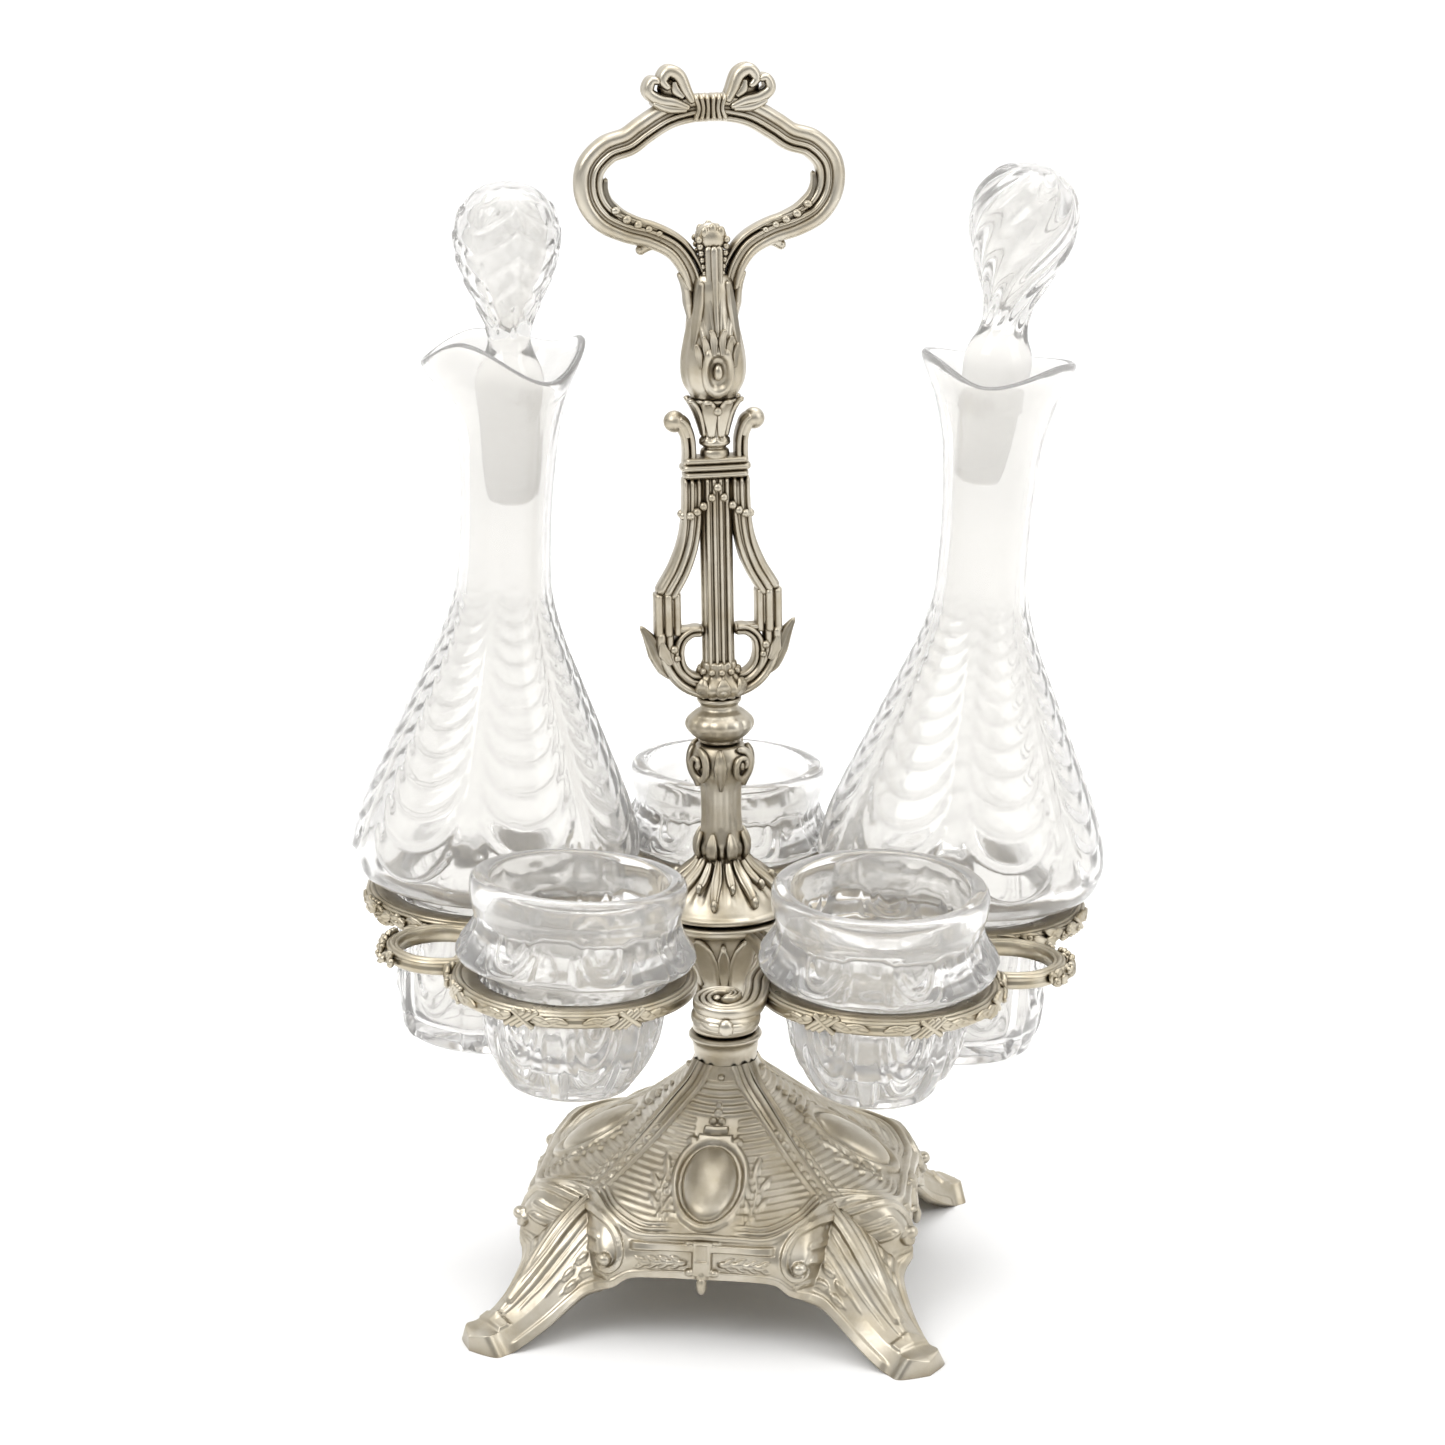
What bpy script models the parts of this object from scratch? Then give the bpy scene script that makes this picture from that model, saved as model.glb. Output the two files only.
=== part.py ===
"""Cruet set: a cast white-metal stand that carries two glass carafes and three glass cups.

Metres, +Z up. The stand rests on z = 0, and the origin is the middle of its footprint. The column
stands a little in front of the origin, because the rear ring reaches further than the front ones.
"""

import math

import bmesh
import bpy
from mathutils import Matrix, Vector

MM = 0.001
GAP = 0.3 * MM
COLUMN_Y = -7 * MM
# Heights are counted from the untrimmed casting. This much is ground off its toes.
TOE_TRIM = 2 * MM

# Turns and leans of the parts on the column, as an old stand has them.
BASE_TURN = math.radians(-7)
LYRE_TURN = math.radians(10)
COLUMN_LEAN = math.radians(-1)
NECK_HEIGHT = 72 * MM
FRAME_TILT = math.radians(1.5)

# Ring frame.
RING_TOP = 118 * MM
RING_HEIGHT = 4.6 * MM
RING_MID = RING_TOP - RING_HEIGHT / 2
CARAFE_RING = (31 * MM, 39.5 * MM)
CUP_RING = (27.5 * MM, 35.2 * MM)
CARAFE_PLACE = (71.5 * MM, 22 * MM)
FRONT_CUP_PLACE = (43.4 * MM, -57 * MM)
REAR_CUP_PLACE = (0.0, 71 * MM)
STOPPER_RING_PLACE = (82.4 * MM, -33.5 * MM)
STOPPER_RING = (13.5 * MM, 17.5 * MM)
STOPPER_RING_WALL = 1.6 * MM
ARMS = {-90: 62 * MM, -20: 72 * MM, 53: 61 * MM, 127: 61 * MM, 200: 72 * MM}
ARM_START = 8 * MM
ARM_WIDTH = 7 * MM
GUSSET_WIDTH = 22 * MM
GUSSET_LENGTH = 13 * MM
BOSS_Y = -77 * MM

# Clamping parts inside the column.
ROD_RADIUS = 2.4 * MM
BORE_RADIUS = ROD_RADIUS + GAP
ROD_BOTTOM = 53 * MM
ROD_TOP = 191 * MM
NUT_RADIUS = 5 * MM
NUT_HEIGHT = 4 * MM
WASHER_TOP = 61.5 * MM
WASHER_HEIGHT = 1.6 * MM
WASHER_RADIUS = 9 * MM

# Cast foot.
BASE_WALL = 2.2 * MM
TOE_REACH = 93.5 * MM
TOE_PAD = (14 * MM, 9 * MM, 7 * MM)

LYRE_THICKNESS = 8 * MM
LOOP_THICKNESS = 7.5 * MM
OUTLINE_BEVEL = 1.4 * MM

# How far each glass leans from upright, about +X and then about +Y.
CARAFE_LEANS = {"left": (0.0, math.radians(2.7)), "right": (0.0, math.radians(3.2))}
STOPPER_LEANS = {"left": math.radians(-3.0), "right": math.radians(6.0)}
CUP_LEANS = {
    "front_left": (math.radians(-2.5), math.radians(3.2)),
    "front_right": (math.radians(3.5), math.radians(0.8)),
    "rear": (0.0, FRAME_TILT),
}
SEAT_LIFT = 0.5 * MM
GLASS_TURN = math.radians(4)

SCREW_STEPS = 20
GLASS_STEPS = 24
RING_STEPS = 36
STOPPER_RING_STEPS = 28


def clear_scene():
    for item in list(bpy.data.objects):
        bpy.data.objects.remove(item, do_unlink=True)


def make_collection(name):
    found = bpy.data.collections.new(name)
    bpy.context.scene.collection.children.link(found)
    return found


clear_scene()
PARTS = make_collection("cruet_set")
CUTTERS = make_collection("cutters")
CUTTERS.hide_render = True


def principled(name, color, metallic, roughness, transmission=0.0):
    material = bpy.data.materials.new(name)
    material.use_nodes = True
    shader = material.node_tree.nodes["Principled BSDF"]
    shader.inputs["Base Color"].default_value = (*color, 1)
    shader.inputs["Metallic"].default_value = metallic
    shader.inputs["Roughness"].default_value = roughness
    shader.inputs["Transmission Weight"].default_value = transmission
    material.diffuse_color = (*color, 1)
    return material


def cast_metal(name, shade=1.0):
    return principled(name, (0.62 * shade, 0.58 * shade, 0.50 * shade), 1.0, 0.34)


def pressed_glass(name):
    return principled(name, (0.96, 0.97, 0.97), 0.0, 0.03, 1.0)


def empty(name, location=(0, 0, 0), rotation=(0, 0, 0), parent=None):
    holder = bpy.data.objects.new(name, None)
    holder.location = location
    holder.rotation_euler = rotation
    holder.parent = parent
    PARTS.objects.link(holder)
    return holder


def add_part(name, mesh, material, parent, location=(0, 0, 0), rotation=(0, 0, 0), collection=None):
    part = bpy.data.objects.new(name, mesh)
    part.location = location
    part.rotation_euler = rotation
    part.parent = parent
    (collection or PARTS).objects.link(part)
    if material:
        mesh.materials.append(material)
    if collection is CUTTERS:
        part.hide_render = True
        part.display_type = "WIRE"
    return part


def profile_mesh(name, points, closed):
    """The outline that a Screw turns: points are (radius, height) in millimetres."""
    mesh = bpy.data.meshes.new(name)
    vertices = [(radius * MM, 0, height * MM) for radius, height in points]
    edges = [(i, i + 1) for i in range(len(points) - 1)]
    if closed:
        edges.append((len(points) - 1, 0))
    mesh.from_pydata(vertices, edges, [])
    return mesh


def add_screw(part, steps):
    screw = part.modifiers.new("turn", "SCREW")
    screw.axis = "Z"
    screw.angle = 2 * math.pi
    screw.steps = steps
    screw.render_steps = steps
    screw.use_merge_vertices = True
    screw.merge_threshold = 0.00001
    screw.use_smooth_shade = True
    return screw


def turned(name, points, material, parent, closed=False, steps=SCREW_STEPS, **place):
    part = add_part(name, profile_mesh(name, points, closed), material, parent, **place)
    add_screw(part, steps)
    return part


def bored(points):
    """Closes an outer outline, top to bottom, along the bore for the tie rod."""
    bore = BORE_RADIUS / MM
    return [*points, (bore, points[-1][1]), (bore, points[0][1])]


def boolean(part, other, operation):
    cut = part.modifiers.new(f"{operation.lower()} {other.name}", "BOOLEAN")
    cut.operation = operation
    cut.object = other
    cut.solver = "EXACT"
    return cut


def solid_mesh(name, build):
    mesh = bpy.data.meshes.new(name)
    work = bmesh.new()
    build(work)
    work.to_mesh(mesh)
    work.free()
    return mesh


def cylinder_mesh(name, radius, bottom, top, sides=48):
    middle = Matrix.Translation((0, 0, (bottom + top) / 2))
    return solid_mesh(
        name,
        lambda work: bmesh.ops.create_cone(
            work,
            cap_ends=True,
            segments=sides,
            radius1=radius,
            radius2=radius,
            depth=top - bottom,
            matrix=middle,
        ),
    )


def box_mesh(name, size, centre):
    place = Matrix.Translation(centre) @ Matrix.Diagonal((*size, 1))
    return solid_mesh(name, lambda work: bmesh.ops.create_cube(work, size=1, matrix=place))


def sphere_mesh(name, radius, squash=1.0):
    place = Matrix.Diagonal((1, 1, squash, 1))
    return solid_mesh(
        name,
        lambda work: bmesh.ops.create_uvsphere(
            work, u_segments=14, v_segments=9, radius=radius, matrix=place
        ),
    )


def cutter(name, mesh, parent, location=(0, 0, 0), rotation=(0, 0, 0)):
    return add_part(name, mesh, None, parent, location, rotation, collection=CUTTERS)


STAND = empty("stand_axis", (0, COLUMN_Y, -TOE_TRIM))
NECK = empty("neck_pivot", (0, 0, NECK_HEIGHT), (0, COLUMN_LEAN, 0), STAND)
COLUMN = empty("column_axis", (0, 0, -NECK_HEIGHT), parent=NECK)
FRAME = empty("frame_pivot", (0, 0, RING_MID), (0, FRAME_TILT, 0), STAND)


# ---------------------------------------------------------------- cast foot


def polar(radius, degrees, height):
    """A point of the front panel's right half: 0 degrees is the panel's middle, 45 its ridge."""
    angle = math.radians(degrees)
    return Vector((radius * math.sin(angle), -radius * math.cos(angle), height)) * MM


# (radius, height) from the neck down, along the middle of a panel and along a ridge.
PANEL_MIDDLE = [(9.5, 72), (13, 65.5), (20, 59), (29, 52.5), (39, 46.5), (48.5, 41), (56, 35)]
PANEL_RIDGE = [(9.5, 72), (13.5, 67), (20, 62), (29, 55), (38, 48.5), (46, 43.5), (52, 40.5)]
# (angle, radius, height) of the moulding under the panel, which climbs over the volute.
MOULDING = [(0, 56, 35), (10, 57.2, 35), (20, 59.6, 35.4), (30, 59, 39.8), (38, 55, 41.4), (45, 52, 40.5)]
# (radius, height) of the ridge on its way down the leg.
LEG_RIDGE = [(60, 35.5), (68, 28.5), (76, 19.5), (84, 12), (89.5, 8.5), (93.5, 7)]
# How far the volutes stand out of the skirt, for each column of the skirt from mid panel to the toe.
VOLUTE_BULGE = (0, 0, 1.5, 3.5, 3, 1.5, 0.5, 0, 0, 0, 0, 0)
# (radius, degrees away from the ridge, height) of the lower edge, from mid panel to the toe.
LOWER_EDGE = [
    (57.5, 45, 24),
    (58.4, 35, 24),
    (61.2, 25, 23.6),
    (64.6, 21.3, 21),
    (65.4, 19, 19.8),
    (65.8, 16.4, 18.6),
    (67.3, 13.4, 16.6),
    (71, 11, 12.8),
    (76, 9, 8.4),
    (82.5, 7.2, 4.4),
    (88.5, 6.1, 0.5),
    (93.5, 5.6, 0.5),
]
PANEL_ROWS = 7
SKIRT_ROWS = 2


def panel_column(angle, foot):
    """Points down the panel at an angle, ending on the moulding at foot."""
    share = (angle / 45) ** 1.5
    column = []
    for row in range(PANEL_ROWS):
        middle = PANEL_MIDDLE[row]
        ridge = PANEL_RIDGE[row]
        radius = middle[0] + (ridge[0] - middle[0]) * share
        height = middle[1] + (ridge[1] - middle[1]) * share
        pull = (row / (PANEL_ROWS - 1)) ** 6
        column.append(polar(radius, angle, height).lerp(foot, pull))
    return column


def base_octant():
    """The panel and the skirt of half a front panel, as two grids of points."""
    upper_edge = [polar(radius, angle, height) for angle, radius, height in MOULDING]
    panel = [panel_column(MOULDING[i][0], upper_edge[i]) for i in range(len(MOULDING))]
    upper_edge += [polar(radius, 45, height) for radius, height in LEG_RIDGE]
    lower_edge = [polar(radius, 45 - away, height) for radius, away, height in LOWER_EDGE]
    skirt = []
    for top, bottom, bulge in zip(upper_edge, lower_edge, VOLUTE_BULGE):
        column = [top.lerp(bottom, row / SKIRT_ROWS) for row in range(SKIRT_ROWS + 1)]
        middle = column[SKIRT_ROWS // 2]
        outward = Vector((middle.x, middle.y, 0)).normalized()
        column[SKIRT_ROWS // 2] = middle + outward * bulge * MM
        skirt.append(column)
    return panel, skirt


def add_grid(work, grid, place, flip):
    made = [[work.verts.new(place @ point) for point in column] for column in grid]
    for left, right in zip(made, made[1:]):
        for row in range(len(left) - 1):
            corners = [left[row], left[row + 1], right[row + 1], right[row]]
            work.faces.new(corners[::-1] if flip else corners)
    return made


def base_shell(work):
    """An open sheet: eight half panels, and a facet that closes each toe."""
    panel, skirt = base_octant()
    for quarter in range(4):
        turn = Matrix.Rotation(quarter * math.pi / 2, 4, "Z")
        right = turn
        left = turn @ Matrix.Rotation(math.pi / 2, 4, "Z") @ Matrix.Diagonal((-1, 1, 1, 1))
        add_grid(work, panel, right, False)
        add_grid(work, panel, left, True)
        near = add_grid(work, skirt, right, False)[-1]
        far = add_grid(work, skirt, left, True)[-1]
        work.faces.new([*near, *far[:0:-1]])
    bmesh.ops.remove_doubles(work, verts=work.verts, dist=0.02 * MM)
    bmesh.ops.recalc_face_normals(work, faces=work.faces)


def build_base(material):
    base = add_part("base_casting", solid_mesh("base_casting", base_shell), material, STAND)
    base.rotation_euler = (0, 0, BASE_TURN)
    shell = base.modifiers.new("wall", "SOLIDIFY")
    shell.thickness = BASE_WALL
    shell.offset = -1
    for corner in range(4):
        angle = math.radians(45 + 90 * corner)
        radius = TOE_REACH - TOE_PAD[0] / 2 - 1.5 * MM
        pad = cutter(
            f"toe_pad_{corner}",
            box_mesh("toe_pad", TOE_PAD, (radius, 0, TOE_PAD[2] / 2 - 1 * MM)),
            STAND,
            rotation=(0, 0, angle + BASE_TURN),
        )
        boolean(base, pad, "UNION")
    ground = box_mesh("ground", (0.3, 0.3, 0.02), (0, 0, TOE_TRIM - 0.01))
    boolean(base, cutter("ground", ground, STAND), "DIFFERENCE")


def build_clamp():
    metal = principled("plain steel", (0.45, 0.44, 0.42), 1.0, 0.4)
    add_part("tie_rod", cylinder_mesh("tie_rod", ROD_RADIUS, ROD_BOTTOM, ROD_TOP, 16), metal, COLUMN)
    top = WASHER_TOP / MM
    bottom = (WASHER_TOP - WASHER_HEIGHT) / MM
    edge = WASHER_RADIUS / MM
    washer = bored([(edge, top), (edge, bottom)])
    turned("tie_washer", washer, metal.copy(), COLUMN, closed=True, steps=24)
    nut_top = WASHER_TOP - WASHER_HEIGHT - GAP
    nut_mesh = cylinder_mesh("tie_nut", NUT_RADIUS, nut_top - NUT_HEIGHT, nut_top, 6)
    nut = add_part("tie_nut", nut_mesh, metal.copy(), COLUMN)
    bore = cylinder_mesh("nut_bore", BORE_RADIUS, nut_top - 2 * NUT_HEIGHT, nut_top + NUT_HEIGHT, 16)
    boolean(nut, cutter("nut_bore", bore, COLUMN), "DIFFERENCE")


# --------------------------------------------------------------- ring frame


def ring_profile(inner, outer):
    """A band with a rounded outer edge, as heights from its middle plane, in millimetres."""
    inside = inner / MM
    outside = outer / MM
    half = RING_HEIGHT / MM / 2
    return [
        (inside, half),
        (outside - 1.2, half),
        (outside, half - 1.2),
        (outside, 1.2 - half),
        (outside - 1.2, -half),
        (inside, -half),
    ]


def ring_places():
    """Name, place and radii of the five large rings."""
    x, y = CARAFE_PLACE
    cup_x, cup_y = FRONT_CUP_PLACE
    return {
        "ring_left_carafe": ((-x, y, 0), CARAFE_RING),
        "ring_right_carafe": ((x, y, 0), CARAFE_RING),
        "ring_front_left_cup": ((-cup_x, cup_y, 0), CUP_RING),
        "ring_front_right_cup": ((cup_x, cup_y, 0), CUP_RING),
        "ring_rear_cup": ((*REAR_CUP_PLACE, 0), CUP_RING),
    }


def build_rings(material):
    """Five rings for the glass and two small ones that park a stopper."""
    large = {}
    for name, (place, radii) in ring_places().items():
        profile = ring_profile(*radii)
        large[name] = turned(
            name, profile, material.copy(), FRAME, closed=True, steps=RING_STEPS, location=place
        )
    for side, sign in (("left", -1), ("right", 1)):
        place = (sign * STOPPER_RING_PLACE[0], STOPPER_RING_PLACE[1], 0)
        neighbours = [f"ring_{side}_carafe", f"ring_front_{side}_cup"]
        wall_outside = STOPPER_RING[0] + STOPPER_RING_WALL
        half = RING_HEIGHT / MM / 2
        inside = STOPPER_RING[0] / MM
        wall = [(inside, half), (wall_outside / MM, half), (wall_outside / MM, -half), (inside, -half)]
        lip = ring_profile(STOPPER_RING[0] + STOPPER_RING_WALL / 2, STOPPER_RING[1])
        lip = [(radius, height * 0.94) for radius, height in lip]
        shared = {"closed": True, "steps": STOPPER_RING_STEPS, "location": place}
        lip_part = turned(f"lip_{side}", lip, None, FRAME, collection=CUTTERS, **shared)
        ring = turned(f"stopper_ring_{side}", wall, material.copy(), FRAME, **shared)
        clearance = cutter(
            f"stopper_ring_room_{side}",
            cylinder_mesh("room", wall_outside + GAP, -0.01, 0.01, STOPPER_RING_STEPS),
            FRAME,
            place,
        )
        for name in neighbours:
            boolean(large[name], clearance, "DIFFERENCE")
            ring_place, radii = ring_places()[name]
            around = cylinder_mesh("around", radii[1] + GAP, -0.01, 0.01, 64)
            around_part = cutter(f"around_{name}", around, FRAME, ring_place)
            boolean(lip_part, around_part, "DIFFERENCE")
        boolean(ring, lip_part, "UNION")


def build_hub(material):
    """The leaf-wrapped bowl, with five arms that end in gussets between the rings."""
    bowl = [
        (0, 119.3),
        (20, 119.3),
        (20.6, 117.5),
        (19, 115),
        (17.5, 111),
        (14, 105.5),
        (10, 100),
        (8.2, 95),
        (8.6, 89),
        (9.4, 84),
        (9.6, 80.7),
        (0, 80.7),
    ]
    hub = turned("frame_hub", bowl, material.copy(), COLUMN)
    for angle, reach in ARMS.items():
        turn = (0, 0, math.radians(angle))
        arm_size = (reach - ARM_START, ARM_WIDTH, RING_HEIGHT * 0.8)
        arm = box_mesh("arm", arm_size, ((reach + ARM_START) / 2, 0, 0))
        boolean(hub, cutter(f"arm_{angle}", arm, FRAME, rotation=turn), "UNION")
        gusset_size = (GUSSET_LENGTH, GUSSET_WIDTH, RING_HEIGHT * 0.9)
        gusset = box_mesh("gusset", gusset_size, (reach - GUSSET_LENGTH / 2, 0, 0))
        boolean(hub, cutter(f"gusset_{angle}", gusset, FRAME, rotation=turn), "UNION")
    for name, (place, radii) in ring_places().items():
        hole = cylinder_mesh("ring_room", radii[1] + GAP, -0.01, 0.01, 64)
        boolean(hub, cutter(f"room_{name}", hole, FRAME, place), "DIFFERENCE")
    for side, sign in (("left", -1), ("right", 1)):
        place = (sign * STOPPER_RING_PLACE[0], STOPPER_RING_PLACE[1], 0)
        hole = cylinder_mesh("stopper_room", STOPPER_RING[1] + GAP, -0.01, 0.01, 36)
        boolean(hub, cutter(f"hub_room_{side}", hole, FRAME, place), "DIFFERENCE")
    bore = cylinder_mesh("hub_bore", BORE_RADIUS, 0.07, 0.13, 16)
    boolean(hub, cutter("hub_bore", bore, COLUMN), "DIFFERENCE")
    boss = [(0, 6), (4, 5.6), (8, 3.6), (10, 0.6), (10, -2.6), (7, -5), (0, -6)]
    turned("front_scroll_boss", boss, material.copy(), FRAME, location=(0, BOSS_Y, 0))


# ------------------------------------------------------------ column pieces


def build_turned_column(material):
    collar = [(10.6, 80.4), (10.9, 79), (10.4, 77), (9.6, 75.5), (9.4, 72.3)]
    turned("base_collar", bored(collar), material.copy(), COLUMN, closed=True)
    stem = [
        (5, 171.5),
        (8.2, 170.5),
        (9.8, 166.6),
        (6.1, 158),
        (6, 146),
        (8.6, 139.5),
        (6.6, 134.5),
        (15, 127),
        (19.4, 122.5),
        (20.4, 120),
    ]
    turned("lower_stem", bored(stem), material.copy(), COLUMN, closed=True)
    knop = [(6.5, 185.7), (5.6, 183), (7.4, 181), (9.8, 179), (10.2, 176.6), (8.4, 174), (6, 171.8)]
    turned("stem_knop", bored(knop), material.copy(), COLUMN, closed=True)
    cap = [(0, 275.2), (8.4, 275.2), (7.6, 273), (5.6, 271.4), (0, 271.4)]
    turned("lyre_cap", cap, material.copy(), COLUMN)
    vase = [
        (0, 307.5),
        (5.6, 307.5),
        (6.2, 302),
        (7.4, 297),
        (9, 291),
        (9.7, 285),
        (9, 279.5),
        (7, 275.5),
        (0, 275.5),
    ]
    turned("vase", vase, material.copy(), COLUMN)


def add_outline(curve, points, corners=()):
    """One closed loop through points in millimetres, with sharp corners at the given places."""
    spline = curve.splines.new("BEZIER")
    spline.bezier_points.add(len(points) - 1)
    for index, ((x, z), point) in enumerate(zip(points, spline.bezier_points)):
        point.co = (x * MM, z * MM, 0)
        kind = "VECTOR" if index in corners else "AUTO"
        point.handle_left_type = kind
        point.handle_right_type = kind
    spline.use_cyclic_u = True


def mirrored(half):
    """A closed outline from its right half, which runs down from the middle line."""
    return half + [(-x, z) for x, z in reversed(half) if abs(x) > 0.01]


def flat_casting(name, loops, thickness, turn):
    """Upright plate from flat outlines with rounded edges, made a mesh so that it can be joined."""
    curve = bpy.data.curves.new(name, "CURVE")
    curve.dimensions = "2D"
    curve.fill_mode = "BOTH"
    curve.resolution_u = 2
    curve.extrude = thickness / 2 - OUTLINE_BEVEL
    curve.bevel_depth = OUTLINE_BEVEL
    curve.offset = -OUTLINE_BEVEL
    curve.bevel_resolution = 0
    for points, corners in loops:
        add_outline(curve, points, corners)
    guide = bpy.data.objects.new(name + "_outline", curve)
    guide.parent = COLUMN
    guide.rotation_euler = (math.pi / 2, 0, turn)
    CUTTERS.objects.link(guide)
    bpy.context.view_layer.update()
    graph = bpy.context.evaluated_depsgraph_get()
    mesh = bpy.data.meshes.new_from_object(guide.evaluated_get(graph))
    work = bmesh.new()
    work.from_mesh(mesh)
    bmesh.ops.remove_doubles(work, verts=work.verts, dist=0.005 * MM)
    bmesh.ops.recalc_face_normals(work, faces=work.faces)
    work.to_mesh(mesh)
    work.free()
    bpy.data.objects.remove(guide, do_unlink=True)
    return mesh


def build_lyre(material):
    outer = mirrored(
        [
            (0, 271),
            (7, 270.5),
            (10, 273),
            (14, 271.5),
            (14, 267.5),
            (9.4, 262),
            (10.4, 257),
            (10.4, 252.5),
            (9.6, 247),
            (9.6, 240),
            (14.5, 228),
            (19.2, 219),
            (19.2, 210),
            (23, 208.6),
            (20.4, 199),
            (14, 190.5),
            (6.5, 187),
            (0, 186.6),
        ]
    )
    gap = [(5.2, 226), (8.4, 222), (12.2, 216.5), (12.2, 208.5), (5.2, 208.5)]
    hole = [(7.2, 202.4), (9, 199), (7.2, 195.6), (5.4, 199)]
    loops = [(outer, (11, 12, 13))]
    for sign in (1, -1):
        loops.append(([(sign * x, z) for x, z in gap], (0, 1, 2, 3, 4)))
        loops.append(([(sign * x, z) for x, z in hole], ()))
    mesh = flat_casting("lyre", loops, LYRE_THICKNESS, LYRE_TURN)
    lyre = add_part("lyre", mesh, material.copy(), COLUMN, rotation=(math.pi / 2, 0, LYRE_TURN))
    foot = [(0, 195), (5, 195), (6.6, 193.5), (5.2, 191), (6.4, 188), (6.6, 186), (0, 186)]
    boolean(lyre, turned("lyre_foot", foot, None, COLUMN, steps=20, collection=CUTTERS), "UNION")
    bore = cylinder_mesh("lyre_bore", BORE_RADIUS, 0.18, ROD_TOP + GAP, 16)
    boolean(lyre, cutter("lyre_bore", bore, COLUMN), "DIFFERENCE")


def build_loop_handle(material):
    outer = mirrored(
        [
            (0, 362.5),
            (5, 362),
            (7, 368),
            (12, 369.4),
            (16.5, 366),
            (16.5, 361),
            (18, 358),
            (25.5, 353),
            (33.5, 350),
            (38.6, 342),
            (38.4, 333),
            (34.5, 326),
            (25, 320.6),
            (15, 318),
            (8, 313),
            (6.6, 308),
        ]
    )
    inner = mirrored(
        [
            (0, 355),
            (9, 354),
            (20, 347),
            (28, 344.5),
            (31, 339.5),
            (29, 333),
            (22, 328.6),
            (12, 326.4),
            (6, 324.6),
            (3.5, 326),
            (0, 327),
        ]
    )
    loops = [(outer, (2, 5, 15, 16)), (inner, ())]
    mesh = flat_casting("loop_handle", loops, LOOP_THICKNESS, LYRE_TURN)
    turn = (math.pi / 2, 0, LYRE_TURN)
    loop = add_part("loop_handle", mesh, material.copy(), COLUMN, rotation=turn)
    for side in (-1, 1):
        place = Matrix.Rotation(LYRE_TURN, 4, "Z") @ Vector((side * 10 * MM, 0, 365 * MM))
        knob = cutter(f"bow_knob_{side}", sphere_mesh("bow_knob", 5.2 * MM, 0.85), COLUMN, place)
        boolean(loop, knob, "UNION")
    knot = cutter("bow_knot", sphere_mesh("bow_knot", 5.4 * MM, 0.8), COLUMN, (0, 0, 359 * MM))
    boolean(loop, knot, "UNION")


# -------------------------------------------------------------------- glass

# (radius, height) outlines from the middle of the floor, up the inside, and down the outside.
CARAFE = [
    (0, 74),
    (25, 75),
    (26.4, 112),
    (27.4, 120.5),
    (36.5, 124.5),
    (40.8, 130),
    (30.4, 161),
    (12.6, 205),
    (11, 228),
    (12.2, 262),
    (19.4, 280.6),
    (21.4, 279.4),
    (15.3, 260),
    (13.8, 228),
    (15.4, 206),
    (24, 183.5),
    (40, 146),
    (44, 131),
    (42.8, 125),
    (38.5, 120.4),
    (30, 118.8),
    (29.3, 76),
    (26.5, 70.5),
    (0, 70),
]
CUP = [
    (0, 91.5),
    (14, 92.5),
    (20.5, 100),
    (23.4, 112),
    (25.2, 126),
    (25.4, 142.5),
    (27.5, 144.6),
    (30.4, 143.6),
    (31, 140.5),
    (29.4, 134),
    (34.5, 122),
    (33, 119.8),
    (26.8, 118.6),
    (26.4, 102),
    (23, 91),
    (17.5, 83.2),
    (0, 82.2),
]
# (radius, height) from the top, with the height counted from the carafe's lip.
STOPPER = [
    (0, 56),
    (8, 54),
    (13.6, 48.5),
    (15.8, 40),
    (14.6, 31.5),
    (10.6, 23),
    (7, 15),
    (6.3, 9),
    (8.6, 3.5),
    (10.2, -2),
    (9.6, -9),
    (8.2, -30),
    (6.6, -38),
    (0, -40),
]
LIP_HEIGHT = 279 * MM
STOPPER_LIFTS = {"left": -2.5 * MM, "right": 7 * MM}


def seat(name, place, leans):
    """An empty on a ring's axis, in the ring's top plane, that leans as the glass does."""
    x, y = place
    sag = -math.tan(FRAME_TILT) * x
    location = (x, y, RING_TOP + sag)
    return empty(name, location, (leans[0], leans[1], 0), STAND)


def lift(leans, radius):
    """How far a leaning glass rises before its low side meets the ring."""
    off_ring = math.hypot(leans[0], leans[1] - FRAME_TILT)
    return radius * math.sin(off_ring) + SEAT_LIFT


def glass_shell(name, outline, holder, raise_by):
    place = {"location": (0, 0, raise_by - RING_TOP), "rotation": (0, 0, GLASS_TURN)}
    return turned(name, outline, pressed_glass(name), holder, steps=GLASS_STEPS, **place)


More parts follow.
